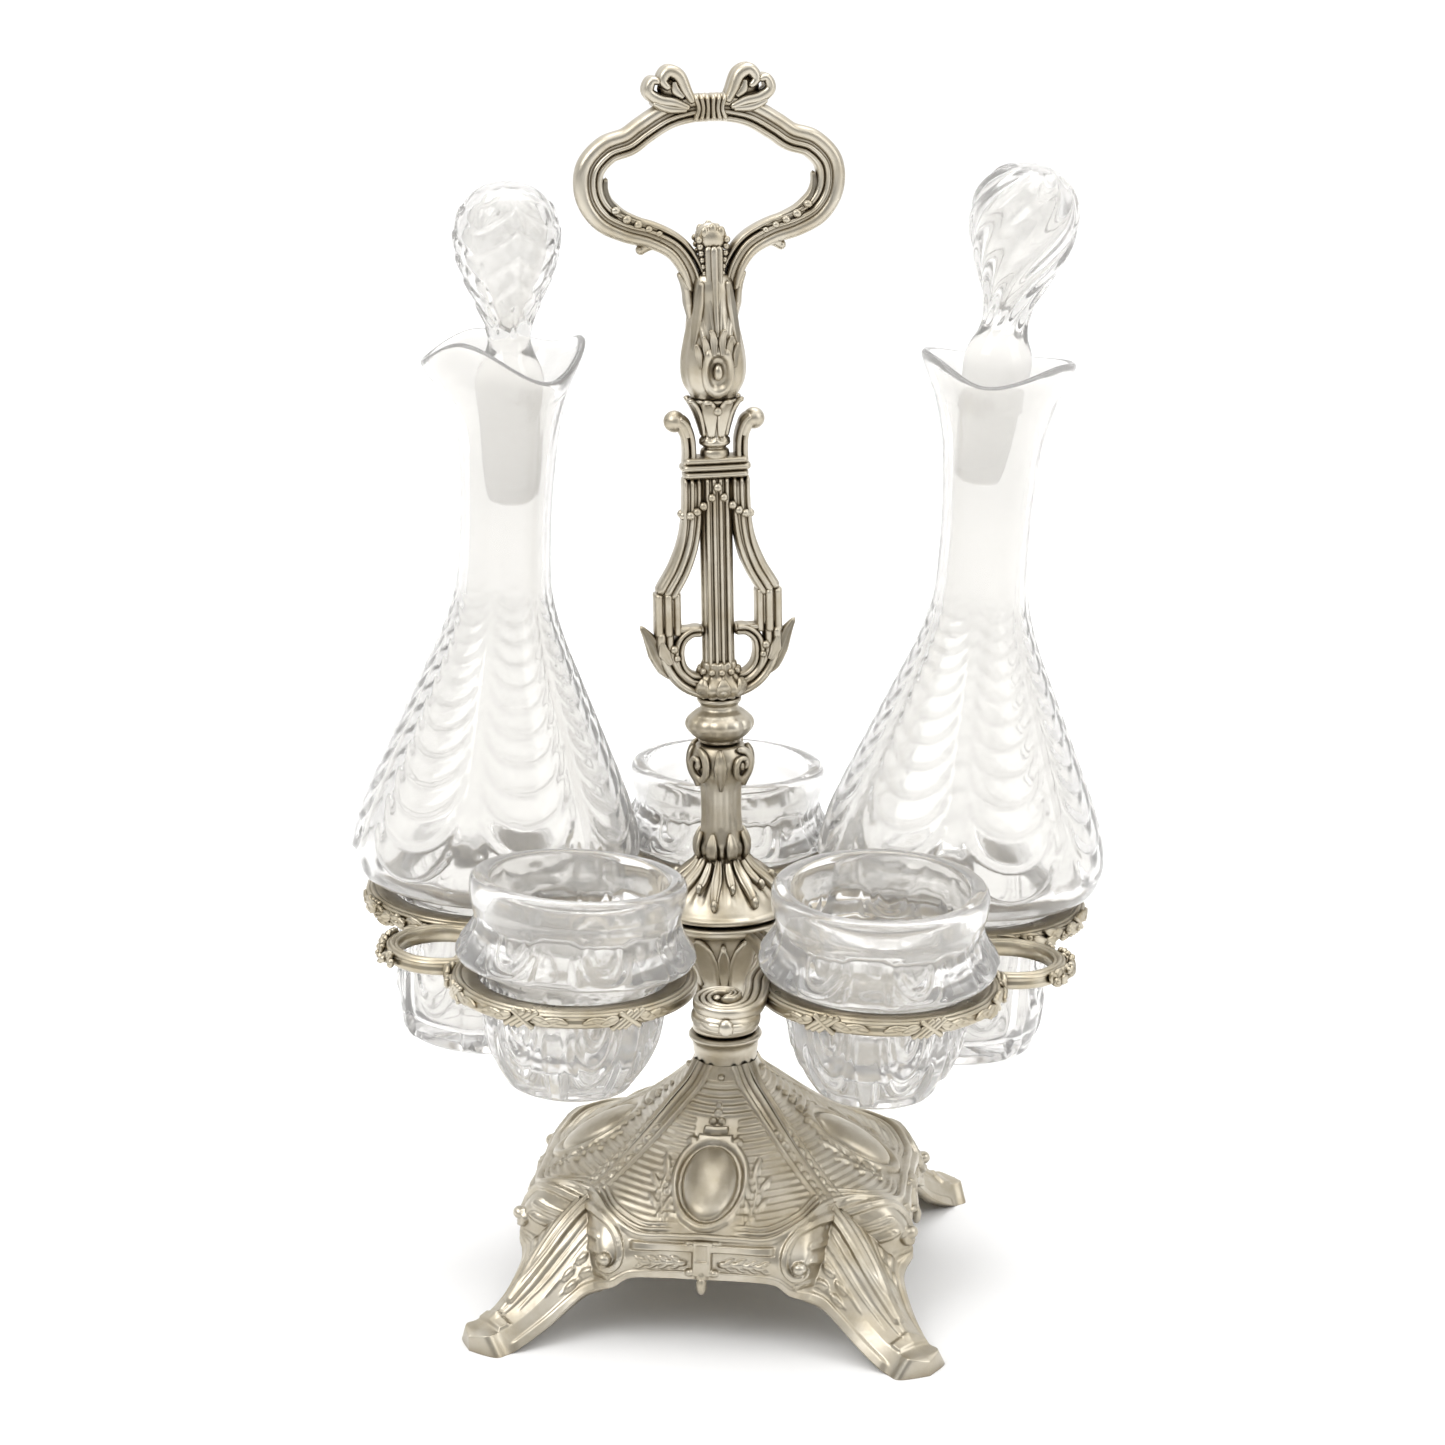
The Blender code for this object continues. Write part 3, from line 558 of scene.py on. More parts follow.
def panel_relief(points):
    """Height of the ornament on half a panel, in millimetres."""
    x = points[..., 0]
    steps = np.linalg.norm(np.diff(points, axis=1), axis=-1)
    w = np.concatenate([np.zeros((len(points), 1)), np.cumsum(steps, axis=1)], axis=1)
    above_foot = w[:, -1:] - w
    from_ridge = (-points[..., 1] - x) / math.sqrt(2)
    frame_share = np.sqrt((x / 10.6) ** 2 + ((w - 40) / 15.8) ** 2)
    field = smooth_step(frame_share, 1.02, 1.12) * smooth_step(from_ridge, 4.4, 5.2)
    field = field * smooth_step(above_foot, 6.8, 8.4) * smooth_step(w, 4, 6)
    crown = smooth_step(np.maximum(np.abs(x) - 6, np.abs(w - 21.5) - 4.5), 0, 1)
    ribs = 0.62 * (0.5 + 0.5 * np.cos(2 * math.pi * w / 2.6)) ** 1.6
    lift = ribs * field * crown
    lift = np.maximum(lift, dome(from_ridge, 1.5, 1.2))
    lift = np.maximum(lift, dome(from_ridge - 3.5, 0.9, 0.9))
    lift -= dome(from_ridge - 2.3, 0.8, 0.35)
    for k in range(9):
        place = w[-1, int(PANEL_ROWS * (0.48 + 0.055 * k))]
        lump = dome(np.hypot((from_ridge - 1.9), (w - place) * 0.8), 1.35, 1.15)
        lift = np.maximum(lift, lump)
    lift = np.maximum(lift, dome(above_foot - 1.3, 1.3, 1.5))
    for height, half in ((3.9, 0.8), (5.9, 0.7)):
        fade = smooth_step(x, 7, 14)
        lift = np.maximum(lift, dome(above_foot - height, half, 0.95) * fade)
    lift = np.maximum(lift, dome(frame_share * 11 - 11, 1.15, 1.3))
    lift = np.maximum(lift, oval(x, w, (0, 40), (8.2, 13.4), 3.6))
    lift = np.maximum(lift, 1.3 * plate(x, w, (0, 24.2), (5.4, 1.5)))
    lift = np.maximum(lift, 1.6 * plate(x, w, (0, 20.9), (3.8, 1.3)))
    lift = np.maximum(lift, oval(x, w, (6.6, 25.4), (1.8, 1.6), 1.5))
    for bx, bw, radius in ((1.25, 17.6, 1.25), (0, 14.6, 1.35), (0, 12.2, 0.9), (0, 3.4, 1.1)):
        lift = np.maximum(lift, oval(x, w, (bx, bw), (radius, radius), 1.4))
    sprig = [(12.2, 55), (13.6, 50), (14.2, 44), (13.4, 39)]
    lift = np.maximum(lift, ridge(x, w, sprig, 0.6, 0.7))
    leaves = [
        ((13.4, 35.2), (1.35, 4.2), 6),
        ((10.9, 41.5), (1.1, 3.4), -24),
        ((16.4, 41.5), (1.2, 3.4), 28),
        ((11.6, 48.2), (1.0, 3.0), -20),
        ((16.2, 48.6), (1.1, 3.0), 32),
    ]
    for centre, radii, angle in leaves:
        lift = np.maximum(lift, oval(x, w, centre, radii, 1.15, angle))
    for bx, bw in ((12.9, 44.6), (15.0, 45.2), (12.0, 52.6), (14.0, 53.2)):
        lift = np.maximum(lift, oval(x, w, (bx, bw), (0.9, 0.9), 1.1))
    curl = [(8.6, w[0, -1] - 8.5), (6.2, w[0, -1] - 6.2), (3.4, w[0, -1] - 5.4)]
    return np.maximum(lift, ridge(x, w, curl, 0.9, 1.0, (0.5, 1.1)))


def skirt_relief(points, place):
    """Height of the ornament on half a skirt and one side of a leg."""
    x = points[..., 0]
    z = points[..., 2]
    column = place[:, None] + 0 * x
    above_edge = z - z[:, -1:]
    row = np.linspace(0, 1, SKIRT_ROWS)[None, :] + 0 * x
    on_panel = 1 - smooth_step(x, 19.5, 22)
    lift = 1.5 * smooth_step(-np.abs(z - 33.4) + 1.5, 0, 0.7) * on_panel
    lift -= 0.5 * smooth_step(-np.abs(z - 28.6) + 2.9, 0, 0.6) * on_panel
    for k in range(4):
        bud = 6.4 + 3.5 * k
        kernel = oval(x, z, (bud, 28.6), (1.9, 1.15), 1.3)
        husk = oval(x, z, (bud + 1.5, 29.7), (1.7, 0.7), 1.0, 28)
        husk = np.maximum(husk, oval(x, z, (bud + 1.5, 27.5), (1.7, 0.7), 1.0, -28))
        lift = np.maximum(lift, np.maximum(kernel, husk) - 0.25)
    rim = 0.8 * smooth_step(2.6 - above_edge, 0, 0.7)
    lift = np.maximum(lift, rim)
    lift = np.maximum(lift, 2.3 * plate(x, z, (0, 30.6), (3.1, 5.6)))
    lift -= 0.7 * plate(x, z, (0, 32), (1.9, 2.6), 0.4)
    lift = np.maximum(lift, oval(x, z, (3.6, 26), (1.6, 1.3), 1.9))
    lift = np.maximum(lift, oval(x, z, (0, 25), (2.2, 2.4), 2.7))
    lift = np.maximum(lift, oval(x, z, (4.1, 35.2), (1.3, 1.0), 1.8))
    scroll = [
        (29.1, 29.8), (30.3, 28.6), (29.6, 26.8), (27.2, 26.4), (25.0, 28.2), (24.3, 31.6),
        (25.4, 35.4), (28.6, 38.6), (33.2, 39.4), (38.0, 36.8), (42.5, 32.4), (47.0, 26.6),
        (52.0, 20.4), (57.0, 14.6),
    ]
    lift = np.maximum(lift, ridge(x, z, scroll, 2.3, 2.2, (0.5, 0.6), groove=0.4))
    lift = np.maximum(lift, oval(x, z, (28.6, 29.4), (1.9, 1.9), 2.7))
    veins = [
        ([(32, 34.5), (36, 32.2), (41, 26.6), (47, 19.5), (54, 12.5)], 1.5, 0.65),
        ([(32.5, 30.5), (35.8, 28.4), (40.5, 23), (46.5, 16)], 1.4, 0.6),
        ([(28, 23.8), (32, 23.5), (37, 20.6), (42, 16.6)], 1.2, 0.6),
        ([(36, 36.2), (39.6, 33), (44.4, 27.4), (50, 20.4), (58, 11.5)], 0.9, 0.45),
    ]
    for path, half, height in veins:
        lift = np.maximum(lift, ridge(x, z, path, half, height, (0.8, 0.3), groove=0.25))
    lobes = [(33.4, 29.4, -35), (36.6, 25.8, -40), (40.4, 21.6, -45), (35, 22.6, -30), (39.4, 18.6, -40)]
    for *centre, angle in lobes:
        lift = np.maximum(lift, oval(x, z, centre, (2.4, 1.0), 0.9, angle))
    on_leg = smooth_step(column, 4.6, 5.4)
    from_ridge = (-points[..., 1] - x) / math.sqrt(2)
    along = (-points[..., 1] + x) / math.sqrt(2)
    lancet = np.clip((88.5 - along) / 26, 0, 1) ** 0.7 * 4.2
    lift = np.maximum(lift, dome(from_ridge, 1.0, 0.6) * on_leg)
    lift = np.maximum(lift, dome(from_ridge - lancet, 0.9, 0.5) * on_leg)
    toe = smooth_step(along, 84.5, 87.5)
    step = (smooth_step(along, 84.6, 85.4) - smooth_step(along, 88.2, 89)) * 0.9
    cap = smooth_step(0.6 - row, 0, 0.08) * on_leg
    return lift * (1 - toe) + step * cap


def base_pieces():
    """Four quarters of the foot, which meet along the ridges."""
    panel = panel_surface()
    skirt, place = skirt_surface()
    panel_out = grid_normals(panel)
    skirt_out = grid_normals(skirt)
    panel_out *= np.sign(panel_out[..., 2].mean())
    skirt_out *= np.sign(-skirt_out[..., 1].mean())
    panel_lift = panel_relief(panel)
    skirt_lift = skirt_relief(skirt, place)
    seam = 0.5 * (panel_lift[:, -1] + skirt_lift[:PANEL_COLUMNS, 0])
    seam_out = panel_out[:, -1] + skirt_out[:PANEL_COLUMNS, 0]
    seam_out /= np.linalg.norm(seam_out, axis=-1, keepdims=True)
    panel_lift[:, -1] = seam
    skirt_lift[:PANEL_COLUMNS, 0] = seam
    panel_out[:, -1] = seam_out
    skirt_out[:PANEL_COLUMNS, 0] = seam_out
    along_ridge = np.array([1, -1, 0]) / math.sqrt(2)
    for out in (skirt_out[PANEL_COLUMNS:, 0], skirt_out[-1]):
        out[:] = along_ridge * (out @ along_ridge)[:, None] + out * (0, 0, 1)
    inner_rows = np.linspace(0, PANEL_ROWS - 1, INNER_ROWS).astype(int)
    inner_skirt = np.linspace(0, SKIRT_ROWS - 1, 4).astype(int)
    inner_panel = panel[:, inner_rows] - panel_out[:, inner_rows] * BASE_WALL
    inner_leg = skirt[:, inner_skirt] - skirt_out[:, inner_skirt] * BASE_WALL
    inner_leg[..., 2] = np.maximum(inner_leg[..., 2], TOE_TRIM)
    top = panel + panel_out * panel_lift[..., None]
    side = skirt + skirt_out * skirt_lift[..., None]
    side[..., 2] = np.maximum(side[..., 2], TOE_TRIM)
    top[0, :, 0] = 0
    side[0, :, 0] = 0
    rim = np.stack([side[:, -1], inner_leg[:, -1]], axis=1)
    inner_leg[:PANEL_COLUMNS, 0] = inner_panel[:, -1]
    quarter = [grid(shown, flip=True) for shown in (top, side, rim)]
    quarter += [grid(inner_panel), grid(inner_leg)]
    tab = bead((0, -59.2, 22.6), 1.9, (0.85, 0.8, 1.5))
    for k, name in enumerate(("front", "right", "back", "left")):
        shapes = both_sides(quarter) + [tab]
        spin = BASE @ turn(90 * k, "Z")
        piece(f"base_{name}", shapes, spin, CAST, "stand", ["base_casting"])


# ------------------------------------------------------- hub, stem and knop

SEAM = 120


def spokes(count, shape, start=0.0):
    """The shape, repeated round the axis from start degrees."""
    return [placed(shape, turn(start + 360 * k / count, "Z")) for k in range(count)]


def radial_leaf(points, width, depth, tip=0.0, reeds=3, groove=0.5, count=26):
    """A leaf that follows a profile of (radius, height), with a bead of radius tip at its end."""
    path = [(radius, 0, height) for radius, height in points]
    line = np.array(points, float)
    steps = np.gradient(line, axis=0)
    face = np.stack([-steps[:, 1], 0 * line[:, 0], steps[:, 0]], axis=1)
    if face[:, 0].mean() < 0:
        face = -face
    shapes = [strand(path, width, depth, face, reeds=reeds, groove=groove, count=count, sides=18)]
    if tip:
        shapes.append(bead((path[-1][0], 0, path[-1][2]), tip, (0.9, 0.85, 1.25)))
    return joined(shapes)


def hub_bowl():
    bowl = [
        (19.6, SEAM - 0.8),
        (20.8, SEAM - 1.6),
        (20.6, SEAM - 3.2),
        (18.6, SEAM - 5),
        (16.6, SEAM - 9),
        (13.4, SEAM - 14.5),
        (10, SEAM - 20),
        (8.3, SEAM - 25),
        (8.6, SEAM - 31),
        (9.6, SEAM - 36),
        (9.9, SEAM - 38.6),
        (8, SEAM - 39.2),
        (2, SEAM - 39.3),
    ]
    shapes = [lathe(bowl, 120, rows=60)]
    shapes += [lathe([(2, SEAM - 0.7), (19.8, SEAM - 0.7)], 120, rows=6)]
    rising = [(8.9, 93), (9.8, 99), (12.6, 105), (16.2, 110.5), (18.9, 114), (20.4, 115.6)]
    shapes += spokes(8, radial_leaf(rising, [1.2, 3.0, 4.0, 3.4, 1.2], 1.1, reeds=5), 22.5)
    between = [(9.2, 97), (11.6, 103.5), (15.4, 109), (18.2, 112.6)]
    shapes += spokes(8, radial_leaf(between, [0.8, 2.0, 2.0, 0.8], 1.3, tip=1.1), 0)
    piece("hub_bowl", shapes, COLUMN, CAST, "stand", ["frame_hub"])


def collar_piece():
    collar = [
        (7, 80.5), (10.4, 80.4), (11.2, 79.7), (11.1, 78.9), (10.5, 78.1), (10.1, 77), (9.9, 75.2),
        (9.6, 73.4), (9.3, 71.6),
    ]
    shapes = [lathe(collar, 96, rows=44)]
    piece("neck_collar", shapes, COLUMN, CAST, "stand", ["base_collar"])


def stem_piece():
    def relief(angle, height, radius):
        facet = 0.35 * np.cos(6 * angle) * window(height, (143, 147), (158, 161))
        flute = 0.35 * np.cos(12 * angle) * window(height, (134, 136), (140, 142))
        veins = 0.3 * np.cos(27 * angle) * window(height, (124.5, 127), (134, 136))
        return facet + flute + veins

    outline = [
        (2.8, 171.8), (6.6, 171.5), (7.9, 170), (8.7, 167.6), (8.6, 165.4), (7.5, 162.6), (6.3, 160),
        (5.8, 157), (5.7, 150), (6.0, 145.4), (6.6, 142.6), (7.2, 140.2), (6.9, 138.2), (6.3, 136.6),
        (7.2, 133.8), (11.4, 130.6), (15.8, 127), (18.6, 123.8), (19.6, 122.4), (20.6, 121.8),
        (20.9, 121.1), (20.5, 120.3), (17, 120.0), (2.8, 119.9),
    ]
    shapes = [lathe(outline, 144, relief, rows=170)]
    hanging = [(6.6, 136.8), (8.8, 134.0), (12.8, 130.8), (16.0, 127.8), (17.8, 125.6)]
    short = [(7.0, 136), (9.6, 133), (12.6, 130.6), (14.4, 129.2)]
    widths = [0.8, 1.3, 1.7, 1.3, 0.7]
    shapes += spokes(9, radial_leaf(hanging, widths, 1.4, reeds=5, groove=0.8), 22)
    shapes += spokes(9, bead((18.0, 0, 126.0), 1.5, (1.1, 0.8, 1.3)), 22)
    shapes += spokes(9, radial_leaf(short, [0.7, 1.2, 1.3, 0.7], 1.5, reeds=3, groove=0.7), 2)
    shapes += spokes(9, bead((14.6, 0, 129.8), 1.3, (1.1, 0.8, 1.3)), 2)
    bud = [(6.5, 136.4), (7.9, 138), (8.3, 140.4), (7.5, 142.8), (6.4, 144.8)]
    shapes += spokes(8, radial_leaf(bud, [0.9, 1.7, 1.9, 1.4, 0.4], 0.9, reeds=3, groove=0.6), 22.5)
    drop = [(7.4, 171.2), (8.8, 169.2), (9.3, 166.4), (8.6, 163), (7.2, 160), (6.4, 158)]
    shapes += spokes(4, radial_leaf(drop, [0.7, 1.5, 2.1, 1.9, 1.2, 0.4], 1.0, reeds=5, groove=0.8), 0)
    curl = [
        (8.2, -1.2, 171.2), (9.0, 1.9, 169.9), (9.3, 3.3, 167.0), (9.0, 2.9, 164.0), (8.4, 0.6, 161.8),
        (8.8, -2.0, 163.2), (9.3, -2.7, 166.0), (9.5, -1.5, 168.3), (9.8, 0.5, 168.2),
        (9.9, 1.1, 166.4), (9.7, 0.2, 165.2),
    ]
    shapes += spokes(4, strand(curl, [1.1, 1.3, 1.1, 0.9, 0.8, 0.7], 0.95, (1, 0, 0), count=60), 45)
    shapes += spokes(4, bead((9.3, -0.2, 166), 1.0, (0.8, 1, 1.3)), 45)
    piece("stem", shapes, COLUMN, CAST, "stand", ["lower_stem"])


def knop_piece():
    def relief(angle, height, radius):
        return 0.45 * np.abs(np.cos(6 * angle)) * np.exp(-(((height - 177.6) / 3.4) ** 2))

    outline = [
        (2.8, 186), (6.2, 185.8), (6.6, 184.9), (5.7, 183.6), (5.9, 182.4), (7.6, 181.2), (8.2, 180.6),
        (9.4, 179.4), (9.9, 177.7), (9.3, 175.9), (8.2, 174.6), (6.6, 173.4), (6.1, 172.2),
        (2.8, 171.9),
    ]
    shapes = [lathe(outline, 144, relief, rows=90)]
    piece("knop", shapes, COLUMN, CAST, "stand", ["stem_knop"])


# ------------------------------------------------------- lyre, vase and loop


def offset(path, distance):
    """A path in the lyre's plane, moved sideways."""
    line = np.asarray(path, float)
    steps = np.gradient(line, axis=0)
    steps /= np.linalg.norm(steps, axis=1, keepdims=True)
    return line + distance * np.stack([-steps[:, 1], steps[:, 0]], axis=1)


def flat_strand(path, width, depth, level=0.0, **more):
    """A strand whose path is given as (x, z) in the lyre's plane."""
    return strand([(x, level, z) for x, z in path], width, depth, **more)


def reeded(path, rows, count=60):
    """Parallel strands along one path: rows are (sideways, half width, half depth)."""
    line = spline(path, count)
    return [flat_strand(offset(line, side), width, depth, count=count) for side, width, depth in rows]


def lyre_piece():
    arm = [(6.9, 253), (6.9, 246), (7.2, 239), (8.4, 232), (11, 225), (14.4, 219), (15.6, 216.6)]
    arm_reeds = [
        (-1.6, [0.9, 1.0, 1.3, 1.5], 3.7),
        (0.4, [0.9, 1.0, 1.3, 1.5], 4.1),
        (2.3, [0.9, 1.0, 1.5, 1.7], 3.5),
    ]
    shapes = reeded(arm, arm_reeds, 40)
    post = [(15.1, 218.6), (15.1, 213), (15.1, 205)]
    shapes += reeded(post, [(-2.7, 1.4, 3.4), (0, 1.6, 4.1), (2.6, 1.5, 3.6)], 24)
    core = [(6.9, 252), (7.1, 242), (9.4, 229), (14.6, 218.6), (15.1, 206)]
    shapes.append(flat_strand(core, 3.1, 2.9, count=70))
    bowl = [(16.6, 207.4), (16.6, 201), (14.6, 195.2), (10.8, 190.6), (5.6, 188), (0.5, 187.3)]
    shapes += reeded(bowl, [(-1.9, 1.5, 3.6), (0.6, 1.6, 4.1)])
    leaf = [(12.6, 191.6), (16.2, 195.4), (18.6, 200.4), (20.6, 204.6), (23.2, 208.6)]
    widths = [1.0, 2.4, 2.8, 1.9, 0.5]
    depths = [2.4, 3.6, 3.2, 2.2, 0.8]
    shapes.append(flat_strand(leaf, widths, depths, reeds=3, groove=0.5))
    lobe = [(14.6, 197), (16.6, 200.6), (17.4, 204.4)]
    for level in (-3.4, 3.4):
        shapes.append(flat_strand(lobe, [0.8, 2.0, 0.6], 1.1, level, reeds=3, groove=0.5))
        shapes.append(bead((13.7, level, 201.6), 1.3))
        shapes.append(bead((12.9, level, 198.8), 1.1))
    curl = [
        (4.6, 206.4), (8.4, 206.2), (11.4, 203.6), (12.2, 199.4), (11.2, 195.2), (8.6, 192.4), (5, 191.4),
    ]
    shapes += reeded(curl, [(0.7, 1.0, 3.7), (-0.9, 1.0, 3.3)])
    shapes.append(flat_strand([(4.4, 206.9), (12.6, 206.9)], 1.1, 3.0))
    scroll = [(7.6, 255.6), (7.4, 260.4), (7.8, 264.6), (9.2, 268), (11.4, 269.6)]
    shapes += reeded(scroll, [(-1.2, 1.1, 3.2), (0.7, 1.1, 3.5)], 30)
    shapes.append(flat_strand([(8, 264), (9.6, 268.2), (12, 269.4)], [1.8, 2.4, 2.4], [3.2, 3.4, 3.2]))
    shapes.append(bead((11.7, 0, 268.9), 3.2, (1, 1.1, 1), 15, 24))
    drops = ((1.75, 246.6), (4.3, 244.2), (6.2, 242.6), (8.1, 241.6), (9.9, 241.2))
    for x, z in drops:
        for level in (-4.1, 4.1):
            shapes.append(bead((x, level * (1 if x < 9 else 0.45), z), 1.3))
    for x in (0.95, 2.85):
        shapes.append(flat_strand([(x, 192), (x, 253)], 0.97, 4.2, count=50, ends=0.02))
    shapes = both_sides(shapes)
    shapes.append(flat_strand([(0, 190), (0, 253)], 4.9, 3.0, count=60, ends=0.02))
    shapes += [bead((0, level, 249.6), 1.4) for level in (-4.2, 4.2)]
    for z, half in ((253.2, 9.9), (255.3, 10.6), (257.4, 9.9)):
        band = [(-half, z), (0, z), (half, z)]
        shapes.append(flat_strand(band, 1.35, [4.2, 4.7, 4.2], count=50, ends=0.09))
    foot = [
        (2.8, 197), (4.9, 196.6), (5.3, 195.2), (5.7, 192.6), (8, 190.4), (8.4, 188.6), (6.6, 187),
        (6.2, 186.2), (2.8, 186),
    ]
    shapes.append(lathe(foot, 72, lambda a, z, r: 0.3 * np.cos(12 * a), rows=50))
    shapes += spokes(12, bead((5.7, 0, 194.2), 1.15))
    petal = [(6, 187), (7.6, 188.6), (8.4, 190.6), (7.4, 192.6)]
    shapes += spokes(8, radial_leaf(petal, [1.2, 2.4, 2.2, 0.8], 0.9))
    piece("lyre_body", shapes, LYRE_PLANE, CAST, "stand", ["lyre"])


def calyx_piece():
    """The cup of leaves between the scrolls, which carries the vase."""
    outline = [
        (0.5, 257), (3.8, 257.6), (4.3, 258.8), (4.1, 260.2), (3.3, 261), (4.5, 262), (4.5, 263),
        (3.6, 264.4), (3.7, 268), (4.8, 271.6), (6.6, 274.4), (7.2, 275.3), (0.5, 275.4),
    ]
    shapes = [lathe(outline[::-1], 72, lambda a, z, r: 0.25 * np.cos(8 * a) * (z > 263), rows=70)]
    petal = [(3.4, 264), (4.4, 268), (5.8, 272), (7.8, 275), (8.8, 274.6)]
    shapes += spokes(8, radial_leaf(petal, [0.9, 1.6, 2.2, 2.2, 1.0], 0.9, reeds=3), 22.5)
    shapes += [bead((0, level, 272.4), 1.4) for level in (-6.6, 6.6)]
    piece("calyx", shapes, LYRE_PLANE, CAST, "stand", ["lyre_cap"])


def vase_piece():
    outline = [
        (0.5, 312), (5, 311.4), (6.4, 308), (6.6, 303), (7.2, 298), (8.4, 292.5), (9.3, 287.5),
        (9.4, 283), (8.6, 279.4), (7, 276.6), (6.2, 275.6), (0.5, 275.4),
    ]

    def relief(angle, height, radius):
        leafy = 0.22 * np.cos(10 * angle) * window(height, (277, 281), (296, 304))
        lift = leafy
        for facing in (-math.pi / 2, math.pi / 2):
            across = np.arctan2(np.sin(angle - facing), np.cos(angle - facing)) * radius
            share = np.sqrt((across / 3.4) ** 2 + ((height - 284) / 5.4) ** 2)
            lift = lift - 1.5 * np.clip(1 - share**2, 0, 1) ** 0.7
            lift = lift + dome(share * 4 - 4.6, 1.3, 0.9)
            side = np.abs(across)
            spray = 3.2 + (height - 290) * 0.22
            lift = lift + dome(side - spray, 1.1, 0.7) * window(height, (286, 290), (303, 307))
        return lift

    shapes = [lathe(outline, 168, relief, rows=150)]
    fronts = [bead((0, -8.6, 284), 1.9, (0.75, 0.8, 1.3))]
    for side in (-1, 1):
        for x, top, low in ((1.3, 296.5, 288.6), (3.4, 294.6, 287), (5.4, 292.4, 285)):
            out = math.sqrt(92 - x * x)
            curl = [
                (side * x * 0.9, -out, low),
                (side * x, 0.3 - out, top - 2.6),
                (side * (x + 0.8), -0.2 - out, top),
            ]
            face = (side * x, -out, 0)
            fronts.append(strand(curl, [0.6, 1.3, 0.6], 0.8, face, reeds=3, groove=0.5, count=24))
        long = [
            (side * 6.4, -5.2, 289),
            (side * 5.6, -5.0, 297),
            (side * 4.6, -5.2, 304),
            (side * 3.6, -5.4, 310),
        ]
        face = (side, -1, 0)
        fronts.append(strand(long, [0.7, 1.7, 1.6, 0.6], 1.0, face, reeds=3, groove=0.5, count=30))
    for x, reach in ((-1.5, 4.4), (0, 5.2), (1.5, 4.4)):
        rod = [
            (x * 0.5, -reach - 3.4, 293.5),
            (x * 0.8, -reach - 1.6, 300),
            (x, -reach - 0.6, 309),
            (x, -reach, 320),
        ]
        fronts.append(strand(rod, [0.6, 0.8, 1.0, 1.1], 1.0, count=40))
    shapes += front_and_back(fronts)
    for side in (-1, 1):
        tip = [(side * 6.2, 0, 298), (side * 6.9, 0, 303), (side * 7.6, 0, 307.6), (side * 9.8, 0, 312)]
        face = (side, 0, 0.2)
        shapes.append(strand(tip, [1.4, 3.6, 3.4, 0.9], [1.0, 1.5, 1.3, 0.6], face, reeds=3, groove=0.4))
    piece("vase_body", shapes, LYRE_PLANE, CAST, "stand", ["vase"])


